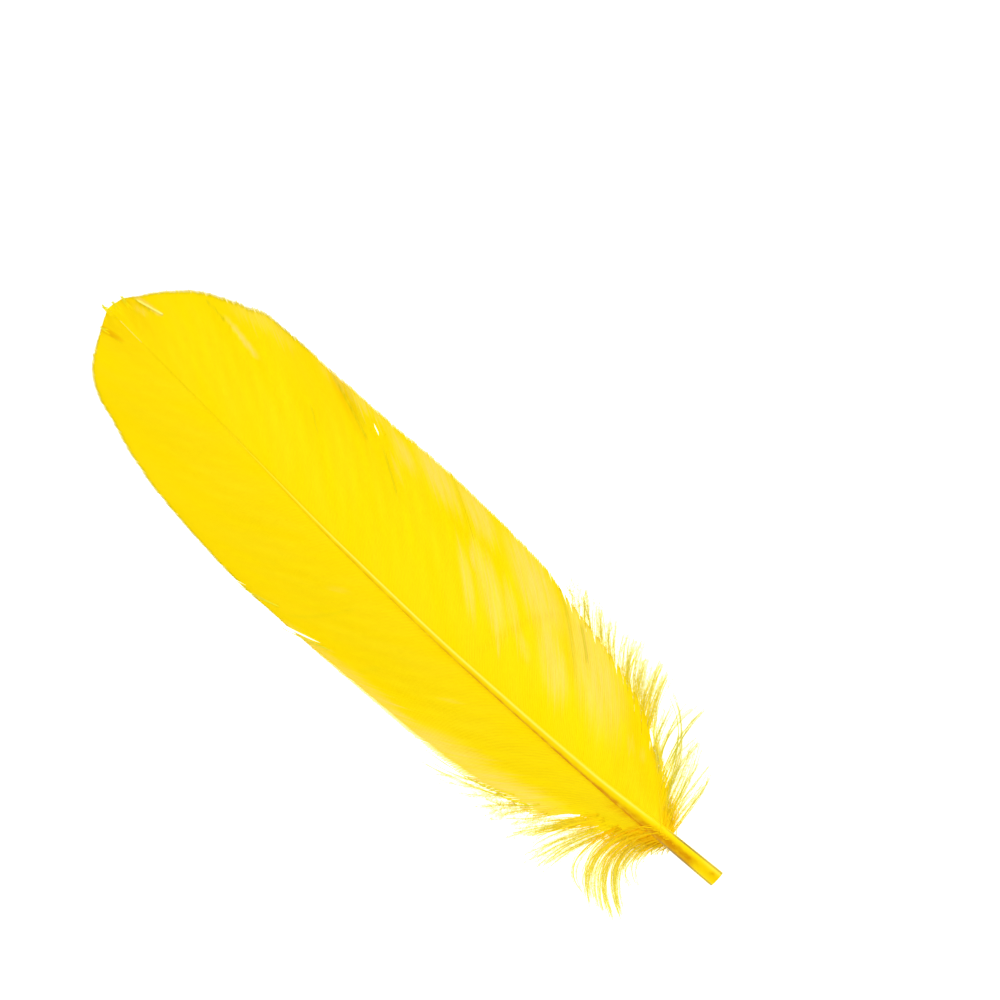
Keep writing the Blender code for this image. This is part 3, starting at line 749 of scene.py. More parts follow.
def dye_surface(finish, colour, *dyes):
    """Mix dyes into a first colour, each by its factor, and give the mixture to the surface."""
    for dye, factor in dyes:
        colour = mix_colours(finish.material, colour, dye, factor)
    link(finish.material, colour, finish.surface.inputs["Base Color"])


def roughen(finish, noise, extent):
    """Let the surface's roughness follow a noise."""
    roughness = spread_values(finish.material, noise, *extent)
    link(finish.material, roughness, finish.surface.inputs["Roughness"])


def dye_barbs(settings):
    """Dyed barbs: yellow with pale and deep streaks that run along them, painted shade in folds, along
    the edge and beside the rib, pale painted light along some folds, and fine barbules.
    """
    finish = start_material("dyed_barbs", settings.gloss, *BARB_GLOSS)
    material = finish.material
    streaks = stretched_noise(material, finish.along, *BARB_STREAKS)
    patches = stretched_noise(material, finish.along, *BARB_PATCHES)
    grain = stretched_noise(material, finish.along, *BARB_GRAIN)
    paleness = vary(finish, "MULTIPLY", finish.pale, streaks, STREAK_PALENESS)
    paleness = vary(finish, "ADD", paleness, patches, PATCH_PALENESS)
    depth = vary(finish, "MULTIPLY", finish.amber, streaks, STREAK_AMBER)
    depth = vary(finish, "ADD", depth, grain, GRAIN_AMBER)
    dye_surface(finish, settings.dye, (settings.pale_dye, paleness), (settings.amber_dye_and_shadow, depth),
                (settings.dull_dye_and_shade, finish.dull))
    roughen(finish, streaks, BARB_ROUGHNESS)
    mapping = add_node(material, "ShaderNodeMapping")
    mapping.inputs["Rotation"].default_value = (0.0, 0.0, LINE_TURN)
    link(material, finish.along, mapping.inputs["Vector"])
    barbules = add_node(material, "ShaderNodeTexWave", wave_type="BANDS", bands_direction="X")
    barbules.inputs["Scale"].default_value = LINE_SCALE
    barbules.inputs["Distortion"].default_value = LINE_DISTORTION
    link(material, mapping.outputs["Vector"], barbules.inputs["Vector"])
    add_bump(finish, barbules.outputs["Fac"], *BARB_BUMP)
    return material


def dye_down(settings):
    """Dyed down: paler and duller towards the tips of its strands."""
    finish = start_material("dyed_down", settings.gloss, *DOWN_GLOSS)
    streaks = stretched_noise(finish.material, finish.along, *DOWN_STREAKS)
    paleness = vary(finish, "MULTIPLY", finish.pale, streaks, DOWN_PALENESS)
    dye_surface(finish, settings.dye, (settings.tip_dye, paleness),
                (settings.root_dye, finish.amber), (settings.dull_dye_and_shade, finish.dull))
    finish.surface.inputs["Roughness"].default_value = DOWN_ROUGHNESS
    add_bump(finish, streaks, *DOWN_BUMP)
    return finish.material


def dye_horn(settings):
    """Dyed horn of the quill and its rib: glossy, with amber stains, a painted highlight line, painted
    shade along the left flank and the quill's sides, and fine long scratches.
    """
    finish = start_material("dyed_horn", settings.gloss, *HORN_GLOSS)
    material = finish.material
    place = add_node(material, "ShaderNodeTexCoord").outputs["Object"]
    grain = stretched_noise(material, place, *HORN_GRAIN)
    stains = stretched_noise(material, place, *HORN_STAINS)
    depth = vary(finish, "MULTIPLY", finish.amber, stains, STAIN_AMBER)
    dye_surface(finish, settings.horn, (settings.pale_horn_and_highlight, finish.pale),
                (settings.horn_stain_and_shade, depth), (settings.rim_shade, finish.dull))
    roughen(finish, grain, HORN_ROUGHNESS)
    add_bump(finish, grain, *HORN_BUMP)
    return material


def whiten_table(settings):
    """White table that is bright enough to lose the feather's shadow."""
    material = bpy.data.materials.new("white_table")
    material.use_nodes = True
    surface = material.node_tree.nodes["Principled BSDF"]
    surface.inputs["Base Color"].default_value = (*settings.table, 1.0)
    surface.inputs["Roughness"].default_value = TABLE_ROUGHNESS
    surface.inputs["Emission Color"].default_value = (*settings.table, 1.0)
    surface.inputs["Emission Strength"].default_value = settings.table_glow
    return material


def shaft_rings(bore):
    """Sections of the shaft from the bore's blind end round the quill's lip to the far tip.

    Each is (station, width, depth, height of its middle), in millimetres.
    """
    mouth = SHAFT_DEPTH[0][1] / 2
    rings = [(BORE_DEPTH + BORE_TIP, BORE_TIP, BORE_TIP, mouth + shaft_floor(BORE_DEPTH))]
    for k in range(BORE_RINGS, 0, -1):
        station = BORE_DEPTH * k / BORE_RINGS
        rings.append((station, bore, bore, mouth + shaft_floor(station)))
    rings.append((LIP_ROUNDING, bore, bore, mouth))
    rings.append((0.0, bore + 2 * LIP_ROUNDING, bore + 2 * LIP_ROUNDING, mouth))
    width = SHAFT_WIDTH[0][1]
    rings.append((0.0, width - 2 * LIP_ROUNDING, width - 2 * LIP_ROUNDING, mouth))
    station = LIP_ROUNDING
    while station < SHAFT_END:
        depth = float(smooth(SHAFT_DEPTH, station))
        rings.append((station, float(smooth(SHAFT_WIDTH, station)), depth,
                      float(shaft_floor(station)) + depth / 2))
        station += SHAFT_STEP
    last = float(shaft_floor(SHAFT_END) + smooth(SHAFT_DEPTH, SHAFT_END) / 2)
    rings.append((SHAFT_END, SHAFT_END_SIZE, SHAFT_END_SIZE, last))
    return rings


def ring_middle(ring):
    """Middle point of one section of the shaft, in metres."""
    station, _, _, height = ring
    across = float(smooth(SHAFT_MIDDLE, station))
    return Vector((across * MM, (station - LENGTH / 2) * MM, height * MM))


def model_shaft(bore):
    """Model the shaft: a disc is extruded out of the bore, round the lip and along the feather."""
    bpy.ops.object.select_all(action="DESELECT")
    rings = shaft_rings(bore)
    bpy.ops.mesh.primitive_circle_add(vertices=SHAFT_SIDES, radius=MM / 2, fill_type="NGON",
                                      location=ring_middle(rings[0]),
                                      rotation=(math.pi / 2, 0.0, 0.0))
    shaft = bpy.context.object
    shaft.name = "shaft"
    bpy.ops.object.transform_apply(location=True, rotation=True, scale=True)
    bpy.ops.object.mode_set(mode="EDIT")
    bpy.ops.mesh.select_all(action="SELECT")
    middle = ring_middle(rings[0])
    width = 1.0
    depth = 1.0
    for k, ring in enumerate(rings):
        if k:
            step = ring_middle(ring) - middle
            bpy.ops.mesh.extrude_region_move(TRANSFORM_OT_translate={"value": step})
        middle = ring_middle(ring)
        growth = (ring[1] / width, 1.0, ring[2] / depth)
        bpy.ops.transform.resize(value=growth, center_override=middle)
        width = ring[1]
        depth = ring[2]
    press_groove(shaft)
    bpy.ops.mesh.select_all(action="SELECT")
    bpy.ops.mesh.normals_make_consistent(inside=False)
    bpy.ops.object.mode_set(mode="OBJECT")
    bpy.ops.object.shade_smooth_by_angle(angle=SHAFT_CREASE)
    return shaft


def press_groove(shaft):
    """Press the groove into the rib's underside."""
    shape = bmesh.from_edit_mesh(shaft.data)
    for corner in shape.verts:
        station = corner.co.y / MM + LENGTH / 2
        half = float(smooth(SHAFT_WIDTH, station)) / 2
        depth = float(smooth(SHAFT_DEPTH, station))
        flank = abs(corner.co.x / MM - float(smooth(SHAFT_MIDDLE, station))) / half
        is_under = corner.co.z / MM < float(shaft_floor(station)) + depth / 2
        if station > GROOVE_START and is_under and flank < GROOVE_SIDE:
            start = float(ramp(GROOVE_START, GROOVE_START + GROOVE_RUN_IN, station))
            corner.co.z += GROOVE_DEPTH * depth * (1 - flank / GROOVE_SIDE) * start * MM
    bmesh.update_edit_mesh(shaft.data)


def shaft_line(line, flank, half, low):
    """How strong a line of tone along the shaft is; low is 1 on the low shaft and 0 on the rib."""
    place, low_shift, reach, low_reach = line
    return numpy.exp(-((flank - place - low_shift * low) * half / (reach + low_reach * low))**2)


def bell(at, middle, reach):
    """Values that fall off on both sides of a middle."""
    return numpy.exp(-((at - middle) / reach)**2)


def between(rise, fall, at):
    """Values that are 1 between a rise and a fall, and 0 outside them."""
    return ramp(*rise, at) * (1 - ramp(*fall, at))


def tone_shaft(shaft):
    """Give the shaft its map and tones: a painted highlight along the right flank, painted shade along
    the left flank, amber stains and dark painted shade along the quill's sides.
    """
    mesh = shaft.data
    points = read_points(mesh) / MM
    station = points[:, 1] + LENGTH / 2
    half = smooth(SHAFT_WIDTH, station) / 2
    flank = (points[:, 0] - smooth(SHAFT_MIDDLE, station)) / half
    in_vane = ramp(*VANE_COVER, station)
    bare = 1 - in_vane
    low = 1 - ramp(*LOW_SHAFT, station)
    # Painted highlight along the rib's right flank
    pale = HIGHLIGHT_LINE_STRENGTH * shaft_line(HIGHLIGHT_LINE, flank, half, low)
    pale *= between(*HIGHLIGHT_LINE_RUN, station)
    pale += LIP_PALENESS * bare * bell(flank, *LIP_FLANK) * (1 - ramp(*LIP_FALL, station))
    # Painted shade along the rib's left flank and over its left side
    amber = shaft_line(SHADE_LINE, flank, half, low)
    amber *= 1 - SHADE_LINE_LOSS * ramp(*SHADE_LINE_FALL, station)
    amber += RIGHT_AMBER * (1 - low) * ramp(*RIGHT_SIDE, flank)
    amber += LEFT_SHADE * (1 - ramp(*LEFT_SIDE, flank))
    amber *= in_vane * (1 - ramp(*AMBER_FALL, station))
    amber += between(*ROOT_AMBER_RUN, station) * (1 - ramp(*ROOT_AMBER_SIDE, flank))
    amber += QUILL_AMBER * bare * bell(flank, *QUILL_AMBER_FLANK)
    for strength, place, reach, side, side_reach in QUILL_SPOTS:
        amber += strength * bell(station, place, reach) * bell(flank, side, side_reach)
    # Dark painted shade along both sides of the bare quill
    rim_shade = between(*RIM_FLANK, numpy.abs(flank)) * bare
    rim_shade *= RIM_LEAST + (1 - RIM_LEAST) * ramp(*RIM_RISE, station)
    add_tones(mesh, numpy.clip(numpy.stack((pale, amber, rim_shade), axis=1), 0.0, 1.0))
    corners = read_counts(mesh.loops, "vertex_index")
    flat = numpy.stack((station, flank), axis=1)
    layer = mesh.uv_layers.active or mesh.uv_layers.new()
    layer.name = "along"
    layer.data.foreach_set("uv", flat[corners].ravel())


def fold_window(fold, shares):
    """How open a fold is at some shares: 0 where it starts, 1 along its middle, 0 at its end."""
    first = fold[0][0]
    last = fold[1][0]
    soft = FOLD_ROUNDING * (min(last, 1.0) - first)
    return ramp(first, first + soft, shares) * (1 - ramp(last - soft, last, shares))


def fold_away(fold, roots, shares, room):
    """How far barbs are from a fold's line at some shares, in roots and in millimetres."""
    (first, first_root), (last, last_root) = fold[:2]
    slope = (last_root - first_root) / (last - first)
    away = roots - (first_root + slope * (numpy.clip(shares, first, last) - first))
    return away, away * room / numpy.hypot(1.0, slope * room / FOLD_BARB_LENGTH)


def clump_barbs(roots, chance):
    """Middle root, pull and length change of the clump that each barb belongs to."""
    middles = numpy.empty(len(roots))
    pulls = numpy.empty(len(roots))
    stretches = numpy.empty(len(roots))
    start = roots[0]
    while start <= roots[-1]:
        length = chance.uniform(*CLUMP_LENGTHS)
        if start <= LOW_EDGE_ROOT:
            length *= LOW_CLUMP_SCALE
        inside = (roots >= start) & (roots < start + length)
        middles[inside] = start + length / 2
        pulls[inside] = chance.uniform(*CLUMP_PULL)
        stretches[inside] = chance.normal(0.0, CLUMP_UNEVENNESS)
        start += length
    return middles, pulls, stretches


def barb_spread(side, roots, shares):
    """Room between barbs, in millimetres for each millimetre of root, and the way to the tip."""
    below = barb_places(side, roots - ROOT_NUDGE, shares)
    above = barb_places(side, roots + ROOT_NUDGE, shares)
    inner = barb_places(side, roots, shares - SHARE_NUDGE)
    outer = barb_places(side, roots, shares + SHARE_NUDGE)
    run = numpy.stack((outer[0] - inner[0], outer[1] - inner[1]))
    run /= numpy.hypot(*run)
    tipward = numpy.stack((-side * run[1], side * run[0]))
    gap = (above[0] - below[0]) * tipward[0] + (above[1] - below[1]) * tipward[1]
    return gap / (2 * ROOT_NUDGE), tipward


def patch_tone(patches, roots, shares):
    """How strong the strongest patch of dye is at some places of the barbs."""
    tone = 0.0 * roots * shares
    for share, root, share_reach, root_reach, strength in patches:
        away = ((shares - share) / share_reach)**2 + ((roots - root) / root_reach)**2
        tone = numpy.maximum(tone, strength * numpy.exp(-away**2))
    return tone


def lay_barbs(side, settings, chance):
    """Copy the barb along one vane, bent, parted and clumped, as one part of a piece."""
    pattern = take_pattern(model_rod("barb_pattern", BARB_SECTION, BARB_STEPS))
    spacing = settings.barb_spacing / MM
    count = round((VANE_END - VANE_START) / spacing) + 1
    roots = numpy.linspace(VANE_START, VANE_END, count)
    roots[1:-1] += chance.uniform(-ROOT_UNEVENNESS, ROOT_UNEVENNESS, count - 2)
    middles, pulls, stretches = clump_barbs(roots, chance)
    roots = roots[:, None]
    looseness = 1 - ramp(BASE_ROOT - ROOT_BLEND, BASE_ROOT + ROOT_BLEND, roots)
    parted = 1 - ramp(LOW_EDGE_ROOT - ROOT_BLEND, LOW_EDGE_ROOT + ROOT_BLEND, roots)
    pulls = pulls[:, None] + BASE_PULL * looseness * chance.uniform(*BASE_PULL_CHANCE, (count, 1))
    pulls += LOW_EDGE_PULL[side] * parted * (1 - looseness)
    pull_start = CLUMP_START + (BASE_CLUMP_START - CLUMP_START) * looseness
    stretches = stretches[:, None] + chance.normal(0.0, LENGTH_UNEVENNESS, (count, 1))
    shares = numpy.linspace(0.0, 1.0, BARB_STEPS + 1)[None, :] * (1 + EDGE_PASSING + stretches)
    room, tipward = barb_spread(side, roots, shares)
    half = room * spacing / 2 * BARB_OVERLAP
    half = numpy.minimum(half, BARB_WIDEST / 2)
    half *= 1 + (BARB_POINT - 1) * ramp(smooth(FRAY_START[side], roots), 1.0, shares - stretches)
    moved = roots + (middles[:, None] - roots) * pulls * ramp(pull_start, 1.0, shares)
    lift = numpy.zeros(shares.shape)
    fold_shading = numpy.zeros(shares.shape)
    for fold in FOLDS[side]:
        away, distance = fold_away(fold, roots, shares, room)
        opening = fold_window(fold, shares)
        gap, height, line_shading, width = fold[2:]
        push = numpy.sign(away) * numpy.exp(-numpy.abs(away) / FOLD_REACH)
        moved = moved + gap / 2 * push * opening / numpy.maximum(room, FOLD_LEAST_ROOM)
        lift += height * opening * numpy.where(away > 0, numpy.exp(-away / FOLD_REACH), 0.0)
        # Painted shade along the fold's line; a negative value paints a pale line of light
        fold_shading += line_shading * opening * numpy.exp(-(2 * distance / width)**2)
    across, station = barb_places(side, moved, shares)
    for per_root, per_share, height in RIPPLE_WAVES:
        phase = chance.uniform(0.0, math.tau)
        wave = numpy.sin(per_root * roots + per_share * shares * math.pi + phase)
        lift += RIPPLE_HEIGHT * height * wave * numpy.sin(math.pi * numpy.clip(shares, 0.0, 1.0))
    ring = numpy.rint(pattern.points[:, 1] * BARB_STEPS).astype(int)
    sideways = pattern.points[:, 0]
    height = pattern.points[:, 2]
    keel = 1 + (KEEL_AT_EDGE - 1) * shares[:, ring]
    width = half[:, ring] * sideways
    point_across = across[:, ring] + tipward[0][:, ring] * width
    point_station = station[:, ring] + tipward[1][:, ring] * width
    point_height = (vane_top(point_across, point_station) + lift[:, ring] + BARB_TILT * sideways
                    + numpy.where(height < 0, height * keel, height))
    points = numpy.stack((point_across, point_station, numpy.maximum(point_height, LOWEST)), axis=-1)
    run = numpy.cumsum(numpy.hypot(numpy.diff(across, axis=1, prepend=across[:, :1]),
                                   numpy.diff(station, axis=1, prepend=station[:, :1])), axis=1)
    flat = numpy.stack((run[:, ring], roots + 0 * run[:, ring] + width), axis=-1)
    ragged = shares + chance.normal(0.0, PATCH_UNEVENNESS, (count, 1))
    pale = patch_tone(PALE_PATCHES[side], roots, ragged)
    # Amber dye, and the rib's painted shadow on the left vane
    amber = patch_tone(AMBER_AND_SHADOW_PATCHES[side], roots, shares)
    # Pale painted light along some folds
    pale = pale + numpy.maximum(-fold_shading, 0.0)
    # Painted shade along the vane's edge
    border = EDGE_SHADE * ramp(1 - EDGE_REACH, 1 - EDGE_REACH / EDGE_SOFTNESS, shares - stretches)
    dull = numpy.maximum(fold_shading, 0.0) + border * ramp(*EDGE_FADE[side], roots)
    tones = numpy.clip(numpy.stack((pale, amber, dull), axis=-1), 0.0, 1.0)[:, ring]
    return make_part(pattern, count, points, flat, tones)


def split_lock(lock, group, chance):
    """Roots, bends and tips of the strands that one lock is made of, as plan places."""
    root, bend, tip = (numpy.array(place, float) for place in lock[:3])
    count = max(FEWEST, round(group.strands * lock[3]))
    run = (tip - root) / numpy.hypot(*(tip - root))
    beside = numpy.array((-run[1], run[0]))
    shift = chance.normal(0.0, 1.0, (count, 1))
    at_root, at_bend, at_tip = group.spread
    roots = root + beside * shift * at_root + run * chance.uniform(*ROOT_SCATTER, (count, 1)) * at_root
    bends = bend + beside * (shift + chance.normal(0.0, 1.0, (count, 1))) * at_bend
    ends = tip + beside * (TIP_GATHER * shift + chance.normal(0.0, 1.0, (count, 1))) * at_tip
    reach = 1 - numpy.abs(chance.normal(0.0, group.shortfall, (count, 1)))
    ends = bends + (ends - bends) * numpy.maximum(reach, STRAND_SHORTEST)
    ends[0] = tip
    return roots, bends, ends


def fringe_locks(chance):
    """Root, bend, tip and fullness of each lock of the fringe along the right vane's edge."""
    locks = []
    for station in numpy.arange(FRINGE_FIRST, FRINGE_LAST, FRINGE_STEP):
        edge = float(smooth(VANE_EDGE[1], station))
        root = (edge - FRINGE_ROOT_BACK[0], station - FRINGE_ROOT_BACK[1])
        bend = (edge + FRINGE_BEND_OUT[0], station + FRINGE_BEND_OUT[1])
        tip = (chance.uniform(*FRINGE_TIP_ACROSS), station + chance.uniform(*FRINGE_LIFT))
        locks.append((root, bend, tip, chance.uniform(*FRINGE_FULLNESS)))
    return locks


def strand_paths(locks, group, chance):
    """Points along every strand of some locks; each strand waves, and its tip rises a little."""
    split = [split_lock(lock, group, chance) for lock in locks]
    roots, bends, ends = (numpy.concatenate(places) for places in zip(*split))
    t = numpy.linspace(0.0, 1.0, STRAND_STEPS + 1)[None, :, None]
    plan = quadratic(roots[:, None, :], bends[:, None, :], ends[:, None, :], t)
    strands = len(roots)
    pace = chance.uniform(*WAVE_PACE, (strands, 1, 2))
    phase = chance.uniform(0.0, math.tau, (strands, 1, 2))
    plan += chance.normal(0.0, WAVE_SIZE, (strands, 1, 2)) * numpy.sin(t * pace + phase) * t
    t = t[..., 0]
    rise = chance.uniform(0.0, 1.0, (strands, 1)) * t**RISE_CURVE
    start = chance.uniform(*group.start, (strands, 1)) * (1 - t) - TIP_SAG * t
    height = vane_top(plan[..., 0], plan[..., 1]) + start + rise
    height = numpy.maximum(height, STRAND_LOWEST + TIP_SAG * rise)
    return numpy.concatenate((plan, height[..., None]), axis=-1)


def lay_strands(paths, group, chance):
    """Copy the strand along paths as one part of a piece."""
    pattern = take_pattern(model_rod("strand_pattern", STRAND_SECTION, STRAND_STEPS))
    strands = len(paths)
    t = numpy.linspace(0.0, 1.0, STRAND_STEPS + 1)[None, :]
    run = numpy.gradient(paths[..., :2], axis=1)
    run /= numpy.maximum(numpy.hypot(run[..., 0], run[..., 1]), TINY)[..., None]
    strength = chance.uniform(0.0, 1.0, (strands, 1))**2
    low, high = group.width
    thick = (low + (high - low) * strength) / 2 * (1 + (STRAND_TIP - 1) * t**TAPER_CURVE)
    ring = numpy.rint(pattern.points[:, 1] * STRAND_STEPS).astype(int)
    offset = thick[:, ring] * pattern.points[:, 0]
    points = numpy.stack((paths[:, ring, 0] - run[:, ring, 1] * offset,
                          paths[:, ring, 1] + run[:, ring, 0] * offset,
                          paths[:, ring, 2] + thick[:, ring] * pattern.points[:, 2]), axis=-1)
    points[..., 2] = numpy.maximum(points[..., 2], 0.0)
    steps = numpy.linalg.norm(numpy.diff(paths, axis=1, prepend=paths[:, :1]), axis=-1)
    length = numpy.cumsum(steps, axis=1)
    luck = chance.uniform(0.0, PATTERN_SPREAD, (strands, 1))
    flat = numpy.stack((length[:, ring], luck + 0 * length[:, ring]), axis=-1)
    uneven = t**group.pale_curve + t * chance.normal(0.0, PALE_CHANCE, (strands, 1))
    pale = group.pale * numpy.clip(uneven, 0.0, 1.0)
    pale *= 1 - PALE_LOSS * strength * group.pale_curve
    amber = group.amber * (1 - ramp(0.0, group.amber_reach, t))
    amber = amber * chance.uniform(*AMBER_CHANCE, (strands, 1))
    dull = group.dull * (LEAST_DULL + (1 - LEAST_DULL) * numpy.sqrt(strength))
    dull = dull * ramp(*group.dull_reach, t)
    tones = numpy.stack((pale, amber, dull), axis=-1)[:, ring]
    return make_part(pattern, strands, points, flat, tones)


def lay_barbules(paths, length, chance):
    """Copy the barbule along both sides of some paths as one part of a piece."""
    pattern = take_pattern(model_barbule())
    steps = numpy.linalg.norm(numpy.diff(paths, axis=1), axis=-1)
    totals = steps.sum(axis=1)
    counts = numpy.maximum((totals / BARBULE_GAP).astype(int), FEWEST)
    strand = numpy.repeat(numpy.arange(len(paths)), counts)
    t = chance.uniform(*BARBULE_RUN, len(strand))
    place = t * (paths.shape[1] - 1)
    k = numpy.minimum(place.astype(int), paths.shape[1] - 2)
    part = (place - k)[:, None]
    foot = paths[strand, k] * (1 - part) + paths[strand, k + 1] * part
    run = paths[strand, k + 1] - paths[strand, k]
    run /= numpy.linalg.norm(run, axis=1)[:, None]
    angle = chance.uniform(*BARBULE_ANGLE, len(strand)) * chance.choice((-1.0, 1.0), len(strand))
    tilt = chance.normal(0.0, BARBULE_TILT, len(strand))
    across = run[:, 0] * numpy.cos(angle) - run[:, 1] * numpy.sin(angle)
    onward = run[:, 0] * numpy.sin(angle) + run[:, 1] * numpy.cos(angle)
    way = numpy.stack((across, onward, run[:, 2] + tilt), axis=1)
    way /= numpy.linalg.norm(way, axis=1)[:, None]
    beside = numpy.cross(way, (0.0, 0.0, 1.0))
    beside /= numpy.linalg.norm(beside, axis=1)[:, None]
    above = numpy.cross(beside, way)
    size = chance.uniform(*BARBULE_CHANCE, len(strand)) * length * (1 + (BARBULE_AT_TIP - 1) * t)
    spike = pattern.points
    points = (foot[:, None] + way[:, None] * (size[:, None] * spike[:, 1])[..., None]
              + (beside[:, None] * spike[:, :1] + above[:, None] * spike[:, 2:]) * BARBULE_WIDTH)
    points[..., 2] = numpy.maximum(points[..., 2], LOWEST)
    flat = numpy.stack((size[:, None] * spike[:, 1], strand[:, None] + 0 * spike[:, 1]), axis=-1)
    tones = numpy.stack((BARBULE_PALE * t, BARBULE_AMBER * (1 - t)**2, 0 * t), axis=1)
    tones = numpy.repeat(tones, len(spike), axis=0)
    return make_part(pattern, len(strand), points, flat, tones)


def lay_locks(locks, group, barbule, chance):
    """The strands and barbules of some locks, as parts of a piece."""
    paths = strand_paths(locks, group, chance)
    return [lay_strands(paths, group, chance),
            lay_barbules(paths, barbule * group.barbule, chance)]


def colour_setting(name, description, default):
    """A colour that can be set in the panel."""
    return FloatVectorProperty(name=name, description=description, default=default, size=3,
                               min=0.0, max=1.0, subtype="COLOR")


class ShaftSettings(bpy.types.PropertyGroup):
    """Size and colours of the quill and its rib."""
    bore: FloatProperty(name="Bore", description="Width of the hollow in the quill",
                        default=0.0024, min=0.0005, max=0.003, unit="LENGTH")
    horn: colour_setting("Horn", "Colour of the dyed horn", (0.97, 0.71, 0.001))
    # Colour of the painted highlight line along the rib, and of the pale stripe near the lip
    pale_horn_and_highlight: colour_setting("Pale horn", "Colour of its palest streaks", (1.0, 0.8, 0.1))
    # Colour of the quill's amber stains and of the painted shade on the rib's left flank
    horn_stain_and_shade: colour_setting("Amber horn", "Colour of its deepest stains", (0.66, 0.28, 0.001))
    # Colour of the dark painted shade along the quill's sides
    rim_shade: colour_setting("Rim", "Colour along the quill's sides", (0.26, 0.17, 0.001))
    gloss: colour_setting("Gloss", "Tint of the light that the horn reflects", (1.0, 0.85, 0.06))


class VaneSettings(bpy.types.PropertyGroup):
    """Spacing, dye and painted shade of the barbs in the vanes."""
    barb_spacing: FloatProperty(name="Barb spacing", description="Distance between barbs on the shaft",
                                default=0.00043, min=0.0003, max=0.001, unit="LENGTH", precision=5)
    dye: colour_setting("Dye", "Colour of the vanes", (1.0, 0.768, 0.001))
    pale_dye: colour_setting("Pale dye", "Colour where the dye is thin", (1.0, 0.77, 0.13))
    # Also the colour of the rib's painted shadow on the left vane
    amber_dye_and_shadow: colour_setting("Amber dye", "Colour where the dye has gathered", (0.9, 0.485, 0.001))
    # Colour of the painted shade in the folds and along the edge
    dull_dye_and_shade: colour_setting("Dull dye", "Colour in folds and along the edge", (0.46, 0.44, 0.008))
    gloss: colour_setting("Gloss", "Tint of the light that the barbs reflect", (1.0, 0.75, 0.0))


class DownSettings(bpy.types.PropertyGroup):
    """Strands and dye of the down."""
    barbule: FloatProperty(name="Barbule length", description="Length of the longest barbules",
                           default=0.0011, min=0.0002, max=0.003, unit="LENGTH", precision=5)
    dye: colour_setting("Dye", "Colour of the strands", (1.0, 0.86, 0.004))
    tip_dye: colour_setting("Tip dye", "Colour of the strands' tips", (0.96, 0.93, 0.34))
    root_dye: colour_setting("Root dye", "Colour of the strands' roots", (1.0, 0.55, 0.001))
    dull_dye_and_shade: colour_setting("Dull dye", "Colour of the dullest strands", (0.6, 0.6, 0.06))
    gloss: colour_setting("Gloss", "Tint of the light that the down reflects", (1.0, 0.8, 0.1))


class StageSettings(bpy.types.PropertyGroup):
    """Camera, light and table."""
    camera_height: FloatProperty(name="Camera height", description="Height over the table",
                                 default=0.9, min=0.3, max=3.0, unit="LENGTH")
    view_width: FloatProperty(name="View width", description="Width of the table in the picture",
                              default=0.2, min=0.05, max=1.0, unit="LENGTH")
    sky: FloatProperty(name="Sky light", description="Strength of the even white light",
                       default=1.0, min=0.0, max=5.0)
    lamp: FloatProperty(name="Lamp", description="Power of the soft lamp",
                        default=1.0, min=0.0, max=100.0, unit="POWER")
    table: colour_setting("Table", "Colour of the table", (1.0, 1.0, 1.0))
    table_glow: FloatProperty(name="Table glow", description="Brightness that the table adds itself",
                              default=0.6, min=0.0, max=3.0)


class FEATHER_OT_shaft(bpy.types.Operator):
    """Model the hollow quill and the rib that carries the barbs"""
    bl_idname = "feather.shaft"
    bl_label = "Quill and rib"

    def execute(self, context):
        settings = context.scene.feather_shaft
        shaft = model_shaft(settings.bore / MM)
        tone_shaft(shaft)
        shaft.data.materials.append(dye_horn(settings))
        fit_piece(shaft)
        return {"FINISHED"}


class FEATHER_OT_vanes(bpy.types.Operator):
    """Lay the barbs of the left and the right vane"""
    bl_idname = "feather.vanes"
    bl_label = "Vanes"

    def execute(self, context):
        settings = context.scene.feather_vanes
        material = dye_barbs(settings)
        for name, side in (("left_vane", -1), ("right_vane", 1)):
            chance = numpy.random.default_rng(SEED + side)
            vane = add_piece(name, [lay_barbs(side, settings, chance)], material)
            fit_piece(vane)
        return {"FINISHED"}


class FEATHER_OT_down(bpy.types.Operator):
    """Lay the strands and barbules of the down and the loose barbs"""
    bl_idname = "feather.down"
    bl_label = "Down"

    def execute(self, context):
        settings = context.scene.feather_down
        material = dye_down(settings)
        chance = numpy.random.default_rng(SEED)
        barbule = settings.barbule / MM
        for name, groups in PIECE_GROUPS.items():
            parts = []
            for locks, group in groups:
                parts += lay_locks(locks, group, barbule, chance)
            if name == "right_down":
                parts += lay_locks(fringe_locks(chance), FRINGE, barbule, chance)
                parts += lay_locks(OVER_LOCKS, OVER, barbule, chance)
            down = add_piece(name, parts, material)
            fit_piece(down)
        return {"FINISHED"}


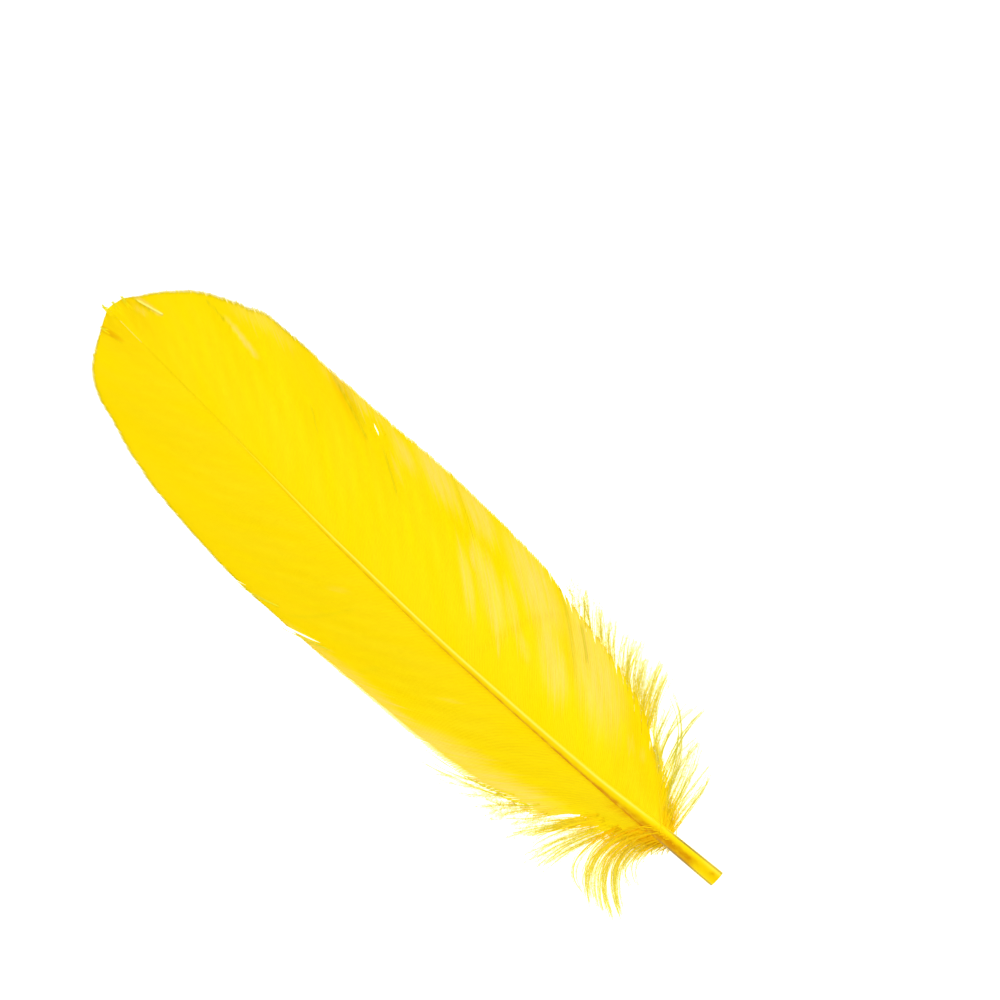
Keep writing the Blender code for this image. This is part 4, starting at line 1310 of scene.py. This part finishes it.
class FEATHER_OT_stage(bpy.types.Operator):
    """Set up the white table, the light and the camera that looks straight down"""
    bl_idname = "feather.stage"
    bl_label = "Stage"

    view_middle = (25.6, 83.4)      # plan place in the middle of the picture
    view_turn = math.radians(-46.84)
    sensor = 36.0
    clip = (0.01, 20.0)
    table_size = 3.0
    lamp_place = (0.55, 0.1, 0.5)
    lamp_size = 0.3

    def execute(self, context):
        settings = context.scene.feather_stage
        bpy.ops.object.select_all(action="DESELECT")
        bpy.ops.mesh.primitive_plane_add(size=self.table_size, location=(0.0, 0.0, 0.0))
        table = context.object
        table.name = "table"
        table.data.materials.append(whiten_table(settings))
        across, station = self.view_middle
        place = (across * MM, (station - LENGTH / 2) * MM, settings.camera_height)
        bpy.ops.object.camera_add(location=place, rotation=(0.0, 0.0, self.view_turn))
        camera = context.object
        camera.name = "camera"
        camera.data.sensor_width = self.sensor
        camera.data.lens = self.sensor * settings.camera_height / settings.view_width
        camera.data.clip_start, camera.data.clip_end = self.clip
        context.scene.camera = camera
        self.add_light(context, settings)
        return {"FINISHED"}

    def add_light(self, context, settings):
        """Add the even sky and a soft lamp that stands on the right vane's side."""
        place = Vector(self.lamp_place)
        turn = (-place).to_track_quat("-Z", "Y").to_euler()
        bpy.ops.object.light_add(type="AREA", location=place, rotation=turn)
        lamp = context.object
        lamp.name = "lamp"
        lamp.data.shape = "DISK"
        lamp.data.size = self.lamp_size
        lamp.data.energy = settings.lamp
        world = bpy.data.worlds.new("white_sky")
        world.use_nodes = True
        sky = world.node_tree.nodes["Background"]
        sky.inputs["Color"].default_value = (1.0, 1.0, 1.0, 1.0)
        sky.inputs["Strength"].default_value = settings.sky
        context.scene.world = world
        context.scene.view_settings.view_transform = "Standard"
        context.scene.view_settings.look = "None"


class VIEW3D_PT_feather(bpy.types.Panel):
    """Sidebar panel with the feather's settings and pieces"""
    bl_idname = "VIEW3D_PT_feather"
    bl_label = "Goose quill feather"
    bl_space_type = "VIEW_3D"
    bl_region_type = "UI"
    bl_category = "Feather"

    def draw(self, context):
        scene = context.scene
        for settings, operator in ((scene.feather_shaft, "feather.shaft"),
                                   (scene.feather_vanes, "feather.vanes"),
                                   (scene.feather_down, "feather.down"),
                                   (scene.feather_stage, "feather.stage")):
            column = self.layout.column()
            for name in settings.__annotations__:
                column.prop(settings, name)
            column.operator(operator)


CLASSES = (ShaftSettings, VaneSettings, DownSettings, StageSettings, FEATHER_OT_shaft,
           FEATHER_OT_vanes, FEATHER_OT_down, FEATHER_OT_stage, VIEW3D_PT_feather)


def register():
    """Register the classes and give every scene its settings."""
    for kind in CLASSES:
        bpy.utils.register_class(kind)
    bpy.types.Scene.feather_shaft = PointerProperty(type=ShaftSettings)
    bpy.types.Scene.feather_vanes = PointerProperty(type=VaneSettings)
    bpy.types.Scene.feather_down = PointerProperty(type=DownSettings)
    bpy.types.Scene.feather_stage = PointerProperty(type=StageSettings)


def unregister():
    """Take the settings and the classes away again."""
    del bpy.types.Scene.feather_stage
    del bpy.types.Scene.feather_down
    del bpy.types.Scene.feather_vanes
    del bpy.types.Scene.feather_shaft
    for kind in reversed(CLASSES):
        bpy.utils.unregister_class(kind)


def main():
    """Build the whole feather and its stage."""
    register()
    bpy.ops.feather.shaft()
    bpy.ops.feather.vanes()
    bpy.ops.feather.down()
    bpy.ops.feather.stage()


if __name__ == "__main__":
    main()
